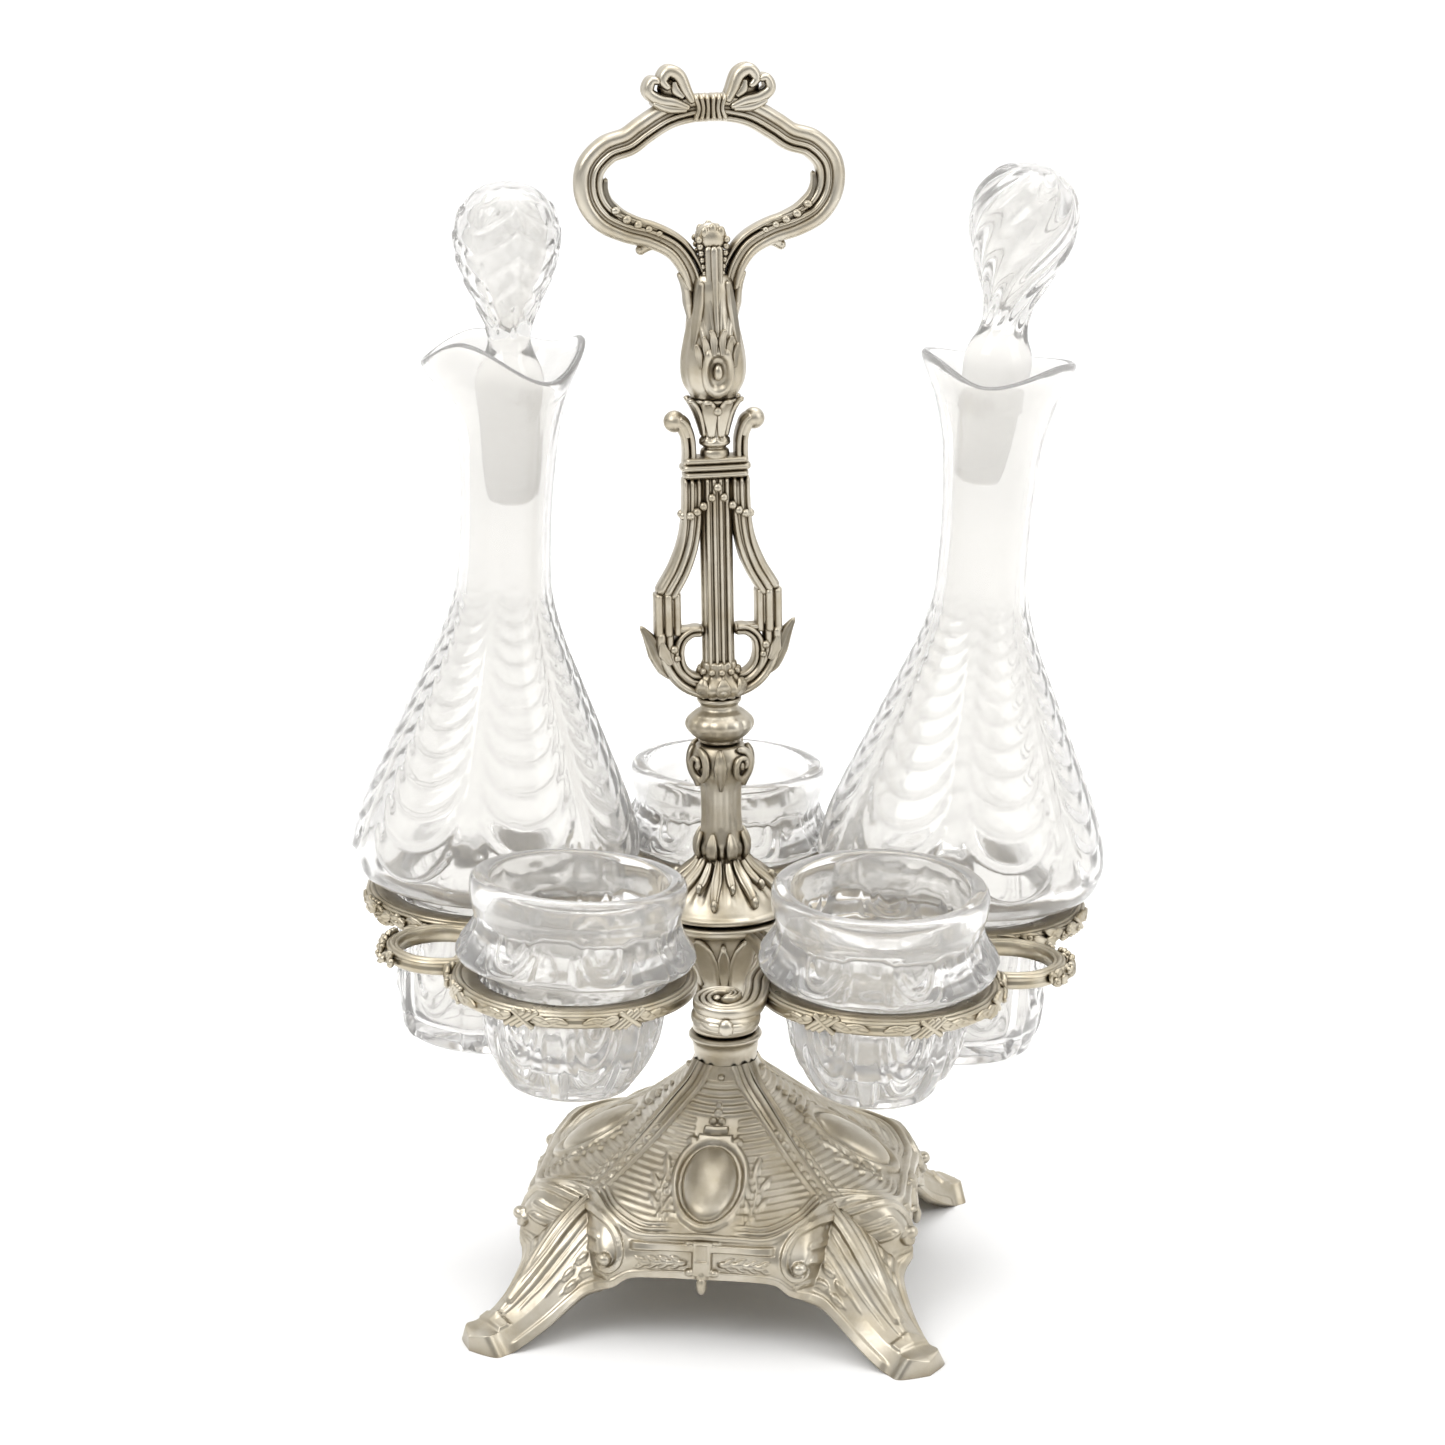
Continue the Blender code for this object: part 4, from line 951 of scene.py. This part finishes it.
def loop_piece():
    band = [
        (-1, 358.6), (6, 358.2), (12.5, 356.4), (19, 352.6), (23.4, 349.6), (29.6, 347.4), (34.4, 342),
        (34.6, 334.6), (31, 328.6), (24.8, 325.2), (17, 322.8), (10.6, 319.2), (6.6, 313.6),
        (4.4, 306.6),
    ]
    line = spline(band, 130)
    shapes = []
    reeds = [
        (1.9, [2.1, 2.1, 2.4, 2.0, 1.2], 3.5),
        (-1.1, [1.0, 1.0, 1.1, 0.9, 0.7], 3.8),
        (-2.9, [1.1, 1.1, 1.3, 1.1, 0.8], 3.1),
    ]
    for side, width, depth in reeds:
        shapes.append(flat_strand(offset(line, side), width, depth, count=130, ends=0.015))
    shapes.append(flat_strand(line, [3.1, 3.1, 3.2, 2.6, 1.6], 2.5, count=110, ends=0.015))
    leaf = [(13, 324), (19.4, 326), (25, 328.4), (29, 332.4), (30.2, 336.4), (29.9, 339.8)]
    widths = [0.9, 1.6, 1.9, 1.7, 1.0, 0.7]
    depths = [2.4, 3.3, 3.3, 3.0, 2.2, 1.6]
    shapes.append(flat_strand(leaf, widths, depths, reeds=3, groove=0.3))
    berries = [
        (27.8, 330.6, 1.25), (24.6, 328, 1.3), (21.4, 326.4, 1.2), (18.4, 325, 1.05), (15.4, 323.6, 0.9),
    ]
    for level in (-3.5, 3.5):
        for x, z, r in berries:
            shapes.append(bead((x, level, z), r, (1.1, 0.8, 0.9)))
    tip = [(14.4, 321.4), (18, 320.4), (20.6, 318.6)]
    shapes.append(flat_strand(tip, [1.4, 1.9, 1.2], [2.6, 2.6, 1.6]))
    shapes.append(bead((20.4, 0, 318.9), 1.5, (1, 1.3, 1)))
    loops = [
        ([(4.6, 359.6), (6.6, 363.4), (8.6, 367.6), (11.6, 368.9), (13.4, 366.4), (11.2, 363.8)], 1.7),
        ([(5.4, 358.4), (10, 360.2), (14.6, 361.2), (17.4, 363.4), (16.4, 366.4), (13.8, 366)], 1.6),
        ([(6.4, 358.2), (12, 358.6), (16.6, 360.4)], 1.3),
    ]
    for level in (-1.9, 1.9):
        for path, half in loops:
            widths = [half * 0.7, half, half * 1.15, half, half * 0.6]
            shapes.append(flat_strand(path, widths, 2.5, level))
        fold = [(7.4, 361.6), (9.6, 363.6), (10.2, 366.2)]
        shapes.append(flat_strand(fold, [0.9, 1.5, 0.8], 1.3, level * 1.3))
    shapes.append(bead((10.4, 0, 364), 3.6, (1.2, 0.55, 1)))
    shapes = both_sides(shapes)
    for x in (-4.2, -2.6, -0.9, 0.9, 2.6, 4.2):
        pleat = [(x * 1.15, 354.4), (x * 0.8, 358.4), (x * 1.1, 362.6)]
        shapes.append(flat_strand(pleat, 1.05, 4.6, count=30, ends=0.2))
    fronts = [bead((0, -2.2, 321.8), 3.8, (1.15, 0.8, 1.05))]
    for x, z, r in ((-2.4, 323.6, 1.3), (0, 324.4, 1.4), (2.4, 323.6, 1.3)):
        fronts.append(bead((x, -3.9, z), r, (0.9, 0.7, 1.3)))
    for side in (-1, 1):
        for k in range(6):
            fronts.append(bead((side * (4.0 - 0.28 * k), -3.7, 321.4 - 1.9 * k), 1.05 - 0.06 * k))
    shapes += front_and_back(fronts)
    piece("handle_loop", shapes, LYRE_PLANE, CAST, "stand", ["loop_handle"])


# --------------------------------------------------------------- ring frame

RING_HALF = 2.3


def ring_section(inner, outer):
    """Closed outline of a band with a flat seat, two thin reeds outside and a plain foot."""
    return [
        (inner, -RING_HALF),
        (inner, RING_HALF - 0.3),
        (inner + 0.4, RING_HALF),
        (outer - 3.4, RING_HALF),
        (outer - 3.0, RING_HALF - 0.25),
        (outer - 2.7, RING_HALF + 0.15),
        (outer - 2.2, RING_HALF + 0.45),
        (outer - 1.6, RING_HALF + 0.2),
        (outer - 1.35, RING_HALF - 0.3),
        (outer - 1.0, RING_HALF - 0.1),
        (outer - 0.4, RING_HALF - 0.4),
        (outer - 0.05, RING_HALF - 1.0),
        (outer - 0.3, RING_HALF - 1.6),
        (outer - 0.1, RING_HALF - 2.2),
        (outer + 0.1, RING_HALF - 3.0),
        (outer - 0.2, RING_HALF - 3.8),
        (outer - 0.9, RING_HALF - 4.4),
        (outer - 1.6, -RING_HALF),
    ]


def band_ring(inner, outer, segments=240):
    section = np.array(ring_section(inner, outer))
    fine = []
    for a, b in zip(section, np.roll(section, -1, axis=0)):
        fine += [a, (a + b) / 2]
    fine = np.array(fine)
    angle = np.arange(segments) * 2 * math.pi / segments
    points = np.stack(
        [
            fine[None, :, 0] * np.cos(angle)[:, None],
            fine[None, :, 0] * np.sin(angle)[:, None],
            fine[None, :, 1] + 0 * angle[:, None],
        ],
        axis=-1,
    )
    return grid(points, wrap_u=True, wrap_v=True, flip=True)


def round_wall(radius, start, stop, low, high, width, depth, **more):
    """A strand laid slantwise on the outer wall of a ring, between two angles in degrees."""
    share = np.linspace(0, 1, 7)
    angle = np.radians(start + (stop - start) * share)
    out = np.stack([np.cos(angle), np.sin(angle), 0 * angle], axis=1)
    path = out * radius + np.outer(low + (high - low) * share, (0, 0, 1))
    return strand(path, width, depth, out, count=22, sides=14, **more)


def wrap(radius, middle):
    """Crossed ribbons and two pairs of laurel leaves on a ring's wall, as an arc of about 30 degrees."""
    shapes = []
    for lean in (-3, 0, 3):
        shapes.append(round_wall(radius - 0.2, middle + lean - 6, middle + lean + 5, -2.5, 2.6, 0.85, 0.9))
    shapes.append(round_wall(radius, middle - 5, middle + 6, 2.5, -2.5, 0.8, 0.8))
    for side in (-1, 1):
        for near, level in ((5, -0.9), (9, 0.9), (13, -0.4)):
            start = middle + side * near
            stop = middle + side * (near + 9)
            widths = [0.6, 1.5, 1.3, 0.3]
            shapes.append(round_wall(radius, start, stop, -level, level, widths, 0.8, reeds=3, groove=0.5))
    return shapes


def garland(radius, middle, spread, seed, count=16):
    """A loose bunch of leaves and berries along the outer wall of a ring."""
    draw = np.random.default_rng(seed)
    shapes = []
    for k in range(count):
        start = middle + draw.uniform(-spread, spread)
        sweep = draw.uniform(5, 11) * draw.choice([-1, 1])
        low, high = draw.uniform(-2.6, 1.5), draw.uniform(-1.5, 2.8)
        lift = radius + draw.uniform(0.3, 1.9)
        widths = [0.6, 1.6, 1.5, 0.4]
        shapes.append(round_wall(lift, start, start + sweep, low, high, widths, 0.9, reeds=3, groove=0.5))
    for k in range(count // 2):
        angle = math.radians(middle + draw.uniform(-spread, spread))
        reach = radius + draw.uniform(0.6, 1.9)
        shapes.append(bead((reach * math.cos(angle), reach * math.sin(angle), draw.uniform(-1.5, 1.8)), 1.1))
    return shapes


def ring_pieces():
    rings = {
        "ring_left_carafe": ("left_carafe", CARAFE_RING, (150, 205, 100, 60), (228, 20)),
        "ring_right_carafe": ("right_carafe", CARAFE_RING, (30, 80, 120, -25), (-48, 20)),
        "ring_front_left_cup": ("front_left_cup", CUP_RING, (-112, -62, -160, 150), (168, 14)),
        "ring_front_right_cup": ("front_right_cup", CUP_RING, (-118, -68, -20, 30), (12, 14)),
        "ring_rear_cup": ("rear_cup", CUP_RING, (40, 90, 140, 180, 0), None),
    }
    for number, (name, (body, radii, wraps, bunch)) in enumerate(rings.items()):
        shapes = [band_ring(*radii)]
        for middle in wraps:
            shapes += wrap(radii[1] + 0.1, middle)
        if bunch:
            shapes += garland(radii[1], *bunch, SEED + number)
        place = RINGS @ move(*PLACES[body], 0)
        piece(f"band_{name}", shapes, place, RING_CAST, "stand", [name])
    for side, facing in (("left", 180), ("right", 0)):
        shapes = [band_ring(*STOPPER_RING, segments=144)]
        shapes += garland(STOPPER_RING[1], facing, 46, SEED + 20 + facing, 22)
        place = RINGS @ move(*PLACES[f"{side}_stopper_ring"], 0)
        name = f"stopper_ring_{side}"
        piece(f"band_{name}", shapes, place, RING_CAST, "stand", [name])


def arm_pieces():
    """Reeded straps from the hub to the joints between the rings."""
    shapes = []
    for angle, reach in ((-20, 72), (53, 61), (127, 61), (200, 72)):
        strap = []
        for side in (-2.2, 0, 2.2):
            path = [
                (12, side * 0.8, 1.6),
                (24, side, 1.9),
                (reach - 14, side, 1.4),
                (reach, side * 1.3, 0.6),
            ]
            strap.append(strand(path, 1.35, 1.6, (0, 0, 1)))
        under = [(10, 0, -0.8), (30, 0, -0.2), (reach + 2, 0, -0.6)]
        strap.append(strand(under, [3.6, 3.4, 4.2], 1.5, (0, 0, -1)))
        fan = reach - 8
        for spread in (-32, 0, 32):
            tip = math.radians(spread)
            out = np.array([math.cos(tip), math.sin(tip), 0])
            root = np.array([fan, 0, 0])
            leaf = [root + (-4, 0, 0.4), root + 3 * out + (0, 0, 1.2), root + 10 * out + (0, 0, 0.2)]
            strap.append(strand(leaf, [1.2, 3.2, 0.8], 1.2, (0, 0, 1), reeds=3, groove=0.5))
        shapes += [placed(shape, turn(angle, "Z")) for shape in strap]
    piece("frame_arms", shapes, RINGS, RING_CAST, "stand", ["frame_hub"])


def boss_piece():
    """The front strap, which curls over a round boss into a spiral eye."""
    path = [
        (6, -11, 0.4), (10.6, -22, 1.2), (12.6, -35, 1.9), (11.8, -49, 2.3), (9.0, -61, 2.4),
        (8.4, -70.5, 1.8), (6.2, -78.8, 1.1), (0.6, -83, 0.8), (-5.2, -80.4, 1.0), (-6.6, -75.4, 1.4),
        (-3.9, -71.4, 1.9), (0.6, -71.8, 2.3), (2.6, -75, 2.5), (1.1, -77.8, 2.3), (-1.5, -77, 2.1),
    ]
    count = 120
    under_count = 80
    line = spline(path, count)
    shapes = []
    steps = np.gradient(line, axis=0)
    steps /= np.linalg.norm(steps, axis=1, keepdims=True)
    sideways = np.stack([-steps[:, 1], steps[:, 0], 0 * steps[:, 0]], axis=1)
    narrow = np.interp(np.linspace(0, 1, count), [0, 0.5, 0.72, 1], [1.3, 1.3, 1.1, 0.55])
    upward = (0, 0, 1)
    for side in (-1.75, 0, 1.75):
        reed = line + sideways * side * narrow[:, None]
        shapes.append(strand(reed, 0.95 * narrow, 1.7, upward, count=count, ends=0.02))
    under = line[:under_count] - (0, 0, 1.4)
    shapes.append(strand(under, 2.5 * narrow[:under_count], 1.6, upward, count=under_count, ends=0.03))
    boss = [
        (0.2, 1.2), (5, 1.1), (7.8, 0.4), (9.4, -0.9), (9.8, -2.4), (9.3, -4.2), (7.6, -5.7), (0.2, -6.2),
    ]
    round_body = lathe(boss, 96, rows=40)
    shapes.append(placed(round_body, move(0, -77, 0)))
    for x in (-2.6, 2.4):
        shapes.append(bead((x, -75.6, 2.2), 1.2, (1, 1.2, 0.8)))
    shapes.append(bead((0, -86.4, -2.6), 2.3, (1, 0.8, 1.1)))
    for side in (-1, 1):
        leaf = [(side * 1.6, -86.5, -3), (side * 4.4, -85.6, -2.8), (side * 6.9, -83.2, -2.2)]
        shapes.append(strand(leaf, [1.4, 1.4, 0.4], 0.8, (0, -1, 0), reeds=2, groove=0.4))
    piece("front_boss", shapes, RINGS, CAST, "stand", ["front_scroll_boss", "frame_hub"])


# -------------------------------------------------------------------- glass

PANELS = 7
RIB_EDGE = 0.78


def wall(outer, inner, relief, segments=196, rows=(220, 60), lip=None):
    """A vessel's skin: outer profile from the lip down to the axis, inner profile back up to the lip."""
    outside = spline(outer, rows[0])
    inside = spline(inner, rows[1])
    outline = np.concatenate([outside, inside])
    shown = np.arange(len(outline)) < len(outside)
    angle = (np.arange(segments) * 2 * math.pi / segments)[:, None]
    steps = np.gradient(outside, axis=0)
    steps /= np.maximum(np.linalg.norm(steps, axis=1, keepdims=True), 1e-9)
    steps = np.concatenate([steps, np.zeros_like(inside)])
    height = outline[:, 1] + 0 * angle
    radius = outline[:, 0] + 0 * angle
    lift = relief(angle + 0 * height, height, radius) * shown
    radius = np.maximum(radius - lift * steps[:, 1], 0)
    height = height + lift * steps[:, 0]
    if lip:
        radius, height = lip(angle, radius, height)
    points = np.stack([radius * np.cos(angle), radius * np.sin(angle), height], axis=-1)
    return grid(points, wrap_u=True, flip=True)


def across_panel(angle, panels=PANELS):
    """-1 to 1 across the panel that this angle falls in; ribs lie at both ends."""
    share = angle * panels / (2 * math.pi)
    return 2 * (share - np.floor(share)) - 1


def rib(across, edge=RIB_EDGE):
    """1 on the crest of a rib, 0 in a panel, 0.5 at its edge."""
    return smooth_step(np.abs(across), edge - 0.07, edge + 0.1)


def scallop(phase):
    """A swag's section: sharp lower edge, then a slow hollow up to the next."""
    t = phase - np.floor(phase)
    rise = np.sin(np.clip(t / 0.2, 0, 1) * math.pi / 2)
    fall = np.cos(np.clip((t - 0.2) / 0.8, 0, 1) * math.pi / 2)
    return np.where(t < 0.2, rise, fall)


def nested(across, height, top, drop, rings, half_width=RIB_EDGE):
    """Ridges shaped as one U inside the next, hung from top, over a thumbprint."""
    u = across / half_width
    below = np.clip((top - height) / drop, 0, 2)
    share = np.sqrt(u**2 + below**2)
    lift = np.zeros_like(share)
    for ring in rings:
        lift = lift + np.exp(-(((share - ring) / 0.085) ** 2))
    inside = (np.abs(u) < 1) * smooth_step(top + 5 - height, 0, 5)
    return lift * inside * (share < 1.15), np.clip(1 - (share / 0.3) ** 2, 0, 1) * inside


def carafe_relief(angle, height, radius):
    u = across_panel(angle)
    crest = rib(u)
    drop = 0.95 * math.pi * radius / PANELS * RIB_EDGE
    level = height - drop * (1 - np.sqrt(np.clip(1 - (u / RIB_EDGE) ** 2, 0, 1)))
    spacing = np.clip(SWAG_SPACING - SWAG_SHRINK * (level - SWAG_START), 3.6, 11)
    phase = -np.log(spacing) / SWAG_SHRINK
    body = window(height, (121.5, 126), (207, 214))
    size = np.interp(height, [120, 140, 175, 212], [1.3, 1.25, 0.8, 0.4])
    lift = body * size * (1 - crest) * (0.85 * scallop(phase) - 0.75)
    lift = lift + body * crest * size * 0.35 * np.cos((np.abs(u) - 1) * 6)
    foot = 1 - smooth_step(height, 115, 117.6)
    ridges, thumb = nested(u, height, 112, 31, (0.36, 0.62, 0.88))
    lower = -1.25 * (1 - crest) + 1.0 * ridges - 0.5 * thumb
    lift = lift + foot * lower * smooth_step(height, 70.5, 74)
    return lift - 0.25 * np.abs(np.sin(angle * 3.5)) * smooth_step(height, 206, 216) * (radius < 18)


# (degrees round the mouth, how far the lip rises, how far it reaches out)
LIP_WAVES = {
    "left": [
        (-180, -1.6, 5), (-125, 6, 1), (-52, -4.4, -0.6), (8, 6.4, 0.6), (60, 2.6, 0), (125, 5.2, 0.8),
    ],
    "right": [
        (-180, 4.8, 1.6), (-150, 3.4, 0.6), (-104, -2.6, -0.8), (-40, 3.6, 0.2), (0, 3.2, 1.4),
        (90, 1, -0.4),
    ],
}
# The swags of a carafe get closer together with height: their spacing, and its loss per mm.
SWAG_SPACING = 10.4
SWAG_SHRINK = 0.071
SWAG_START = 128


def carafe_lip(side):
    """Pulls the mouth into its lobes, dips and spout."""
    wave = np.array(LIP_WAVES[side])
    turns = np.concatenate([wave - (360, 0, 0), wave, wave + (360, 0, 0)])

    def lip(angle, radius, height):
        near = smooth_step(height, 252, 281) ** 1.6
        place = np.degrees(np.arctan2(np.sin(angle), np.cos(angle))) + GLASS_TURN
        rise, reach = np.moveaxis(hermite(turns[:, 0], turns[:, 1:], place.ravel()), -1, 0)
        radius = radius + near * reach.reshape(place.shape)
        height = height + near * rise.reshape(place.shape)
        return radius, height

    return lip


def carafe_pieces():
    outer = [
        (20.6, 281.0), (21.5, 280.1), (20.9, 277.6), (17.9, 270.5), (15.6, 261), (14.5, 249),
        (13.9, 238), (13.9, 226), (14.3, 215), (15.5, 206.5), (19, 195.5), (24, 184), (31.4, 167),
        (39.0, 149), (42.6, 138.6), (44.0, 131), (43.2, 126), (40.6, 122.4), (36, 120.6), (31.6, 119.7),
        (30.0, 118.2), (29.9, 114), (29.9, 100), (29.7, 84), (29.0, 76), (27.4, 72), (24.6, 70.3),
        (20, 70.2), (16, 71.8), (8, 72.4), (0, 72.4),
    ]
    inner = [
        (0, 76.2), (14, 75.9), (22.5, 76.6), (25.6, 80), (26.4, 92), (26.6, 108), (26.8, 115),
        (27.6, 119.4), (31, 122.0), (37, 124.8), (40.4, 129.6), (39.4, 137.4), (35.4, 149), (27.6, 167),
        (20.6, 184), (15.4, 196.5), (12.2, 207), (11.2, 216), (11.0, 230), (11.4, 246), (12.6, 260),
        (15.4, 270.8), (18.6, 278.2), (20.0, 281.1), (20.6, 281.0),
    ]
    for side in ("left", "right"):
        body = f"{side}_carafe"
        shape = wall(outer, inner, carafe_relief, 224, (300, 90), carafe_lip(side))
        name = f"carafe_{side}"
        place = seat(body, CARAFE_RING[0]) @ turn(GLASS_TURN, "Z")
        piece(f"glass_{name}", [shape], place, GLASS, body, [name])


def cup_relief(angle, height, radius):
    u = across_panel(angle)
    crest = rib(u, 0.6)
    belly = window(height, (120.6, 123.5), (131, 134.5))
    ridges, thumb = nested(u, height, 131, 10.5, (0.52, 0.92), 0.6)
    upper = 0.4 * crest - 0.9 * (1 - crest) + 0.8 * ridges + 0.4 * thumb
    bowl = (1 - smooth_step(height, 114.5, 117.6)) * smooth_step(height, 82.5, 87)
    ridges, thumb = nested(u, height, 112, 25, (0.34, 0.62, 0.9), 0.72)
    lower = -1.3 * (1 - rib(u, 0.72)) + 1.0 * ridges - 0.5 * thumb
    return belly * upper + bowl * lower


def cup_pieces():
    outer = [
        (28.0, 144.9), (30.0, 144.5), (30.9, 143.3), (31.1, 141), (30.8, 138), (30.2, 136), (29.7, 134),
        (29.7, 132), (30.5, 129.4), (32.2, 126.4), (33.8, 124), (34.4, 122.2), (33.4, 120.4),
        (30, 119.5), (27.2, 118.9), (26.6, 117.4), (26.6, 113), (26.4, 104), (25.2, 97), (22.6, 90.6),
        (19.4, 85.6), (17.6, 83.4), (15, 82.4), (11, 82.6), (8, 83.8), (0, 84.2),
    ]
    inner = [
        (0, 91.6), (9, 91.9), (15, 93.8), (19.4, 99), (22.2, 106), (23.8, 114), (25.0, 122),
        (25.4, 130), (25.2, 138), (25.4, 143), (26.4, 144.6), (28.0, 144.9),
    ]
    names = {
        "cup_front_left": "front_left_cup",
        "cup_front_right": "front_right_cup",
        "cup_rear": "rear_cup",
    }
    for name, body in names.items():
        shape = wall(outer, inner, cup_relief, 210, (190, 60))
        place = seat(body, CUP_RING[0]) @ turn(GLASS_TURN, "Z")
        piece(f"glass_{name}", [shape], place, GLASS, body, [name])


def draped(angle, height, radius):
    """Broad leaves that hang over the bulb, each with a midrib and drooping veins."""
    u = across_panel(angle + 0.5, 4)
    level = height + 7.5 * np.abs(u) ** 0.8
    bulb = window(height, (9, 16), (50, 55))
    midrib = np.exp(-((u / 0.1) ** 2)) + 0.8 * np.exp(-(((np.abs(u) - 1) / 0.12) ** 2))
    return bulb * (0.6 * scallop(-level / 7.2) - 0.4 + 0.5 * midrib)


def twisted(angle, height, radius):
    """Narrow flutes that wind round the bulb."""
    bulb = window(height, (3, 12), (52, 55.6))
    return bulb * 0.6 * np.cos(10 * (angle - height / 19))


def stopper_pieces():
    outer = [
        (0, 56), (4.6, 55.4), (9, 53.4), (13.4, 48.6), (15.6, 42), (15.3, 36), (13.2, 28.6),
        (9.9, 21.4), (7.3, 15), (6.4, 9.5), (7.6, 5.2), (9.4, 1.2), (10.1, -2.4), (9.9, -7), (9.2, -16),
        (8.2, -30), (6.8, -37.4), (4, -39.6), (0, -40),
    ]
    hollow = [
        (0, 12), (2.6, 15), (6.6, 22.6), (10.2, 30), (12.2, 36.6), (12.4, 41.6), (10.2, 47.6),
        (5.4, 51.6), (0, 52.4),
    ]
    for side, relief in (("left", draped), ("right", twisted)):
        skin = lathe(outer, 168, relief, rows=190)
        cavity = lathe(hollow, 72, rows=50)
        name = f"stopper_{side}"
        place = stopper_seat(side)
        piece(f"glass_{name}", [skin, cavity], place, GLASS, f"{side}_stopper", [name])


# ------------------------------------------------------------------ the rest


def tie_parts():
    """The rod, washer and nut under the foot are the CAD's own, in plain steel."""
    for name in ("tie_rod", "tie_washer", "tie_nut"):
        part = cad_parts[name]
        part.data.materials.clear()
        part.data.materials.append(STEEL)


def floor_and_lights():
    bpy.ops.mesh.primitive_plane_add(size=80, location=(0, 0, 0))
    floor = bpy.context.active_object
    floor.name = "floor"
    floor.data.materials.append(floor_material())
    lamps = [
        ("key", (-0.9, -0.7, 1.25), (0.9, 0.9), 9),
        ("fill", (1.0, -0.5, 0.75), (0.7, 1.0), 4),
        ("top", (0.1, 0.3, 1.5), (1.0, 1.0), 8),
    ]
    target = Vector((0, 0, 0.16))
    for name, place, size, power in lamps:
        light = bpy.data.lights.new(name, "AREA")
        light.shape = "RECTANGLE"
        light.size, light.size_y = size
        light.energy = power
        lamp = bpy.data.objects.new(name, light)
        lamp.location = place
        lamp.rotation_euler = (target - Vector(place)).to_track_quat("-Z", "Y").to_euler()
        bpy.context.scene.collection.objects.link(lamp)
    world = bpy.data.worlds.new("studio")
    bpy.context.scene.world = world
    world.use_nodes = True
    tree = world.node_tree
    background = tree.nodes["Background"]
    place = tree.nodes.new("ShaderNodeTexCoord")
    split = tree.nodes.new("ShaderNodeSeparateXYZ")
    tree.links.new(place.outputs["Generated"], split.inputs[0])
    depth = node(tree, "ShaderNodeMapRange", {"From Min": -1, "From Max": 1})
    tree.links.new(split.outputs["Y"], depth.inputs[0])
    wall = ramp(tree, depth.outputs[0], [(0.0, (0.3,)), (0.35, (0.45,)), (0.5, (0.66,)), (0.72, (1.04,))])
    ceiling = ramp(tree, split.outputs["Z"], [(0.35, (0.0,)), (0.8, (1.0,))])
    both = node(tree, "ShaderNodeMix", data_type="RGBA")
    both.inputs[7].default_value = (1.45, 1.45, 1.45, 1)
    tree.links.new(ceiling.outputs["Color"], both.inputs[0])
    tree.links.new(wall.outputs["Color"], both.inputs[6])
    tree.links.new(both.outputs[2], background.inputs["Color"])
    background.inputs["Strength"].default_value = 1.0


def camera():
    lens = bpy.data.cameras.new("photo view")
    lens.sensor_width = 36
    lens.lens = 82.4
    lens.clip_start = 0.05
    view = bpy.data.objects.new("photo view", lens)
    view.location = (-0.001, -0.9577, 0.4336)
    view.rotation_euler = (math.radians(90 - 15.18), 0, 0)
    bpy.context.scene.collection.objects.link(view)
    bpy.context.scene.camera = view


base_pieces()
collar_piece()
hub_bowl()
arm_pieces()
boss_piece()
ring_pieces()
stem_piece()
knop_piece()
lyre_piece()
calyx_piece()
vase_piece()
loop_piece()
carafe_pieces()
cup_pieces()
stopper_pieces()
tie_parts()
floor_and_lights()
camera()
bpy.context.scene.view_settings.view_transform = "Standard"
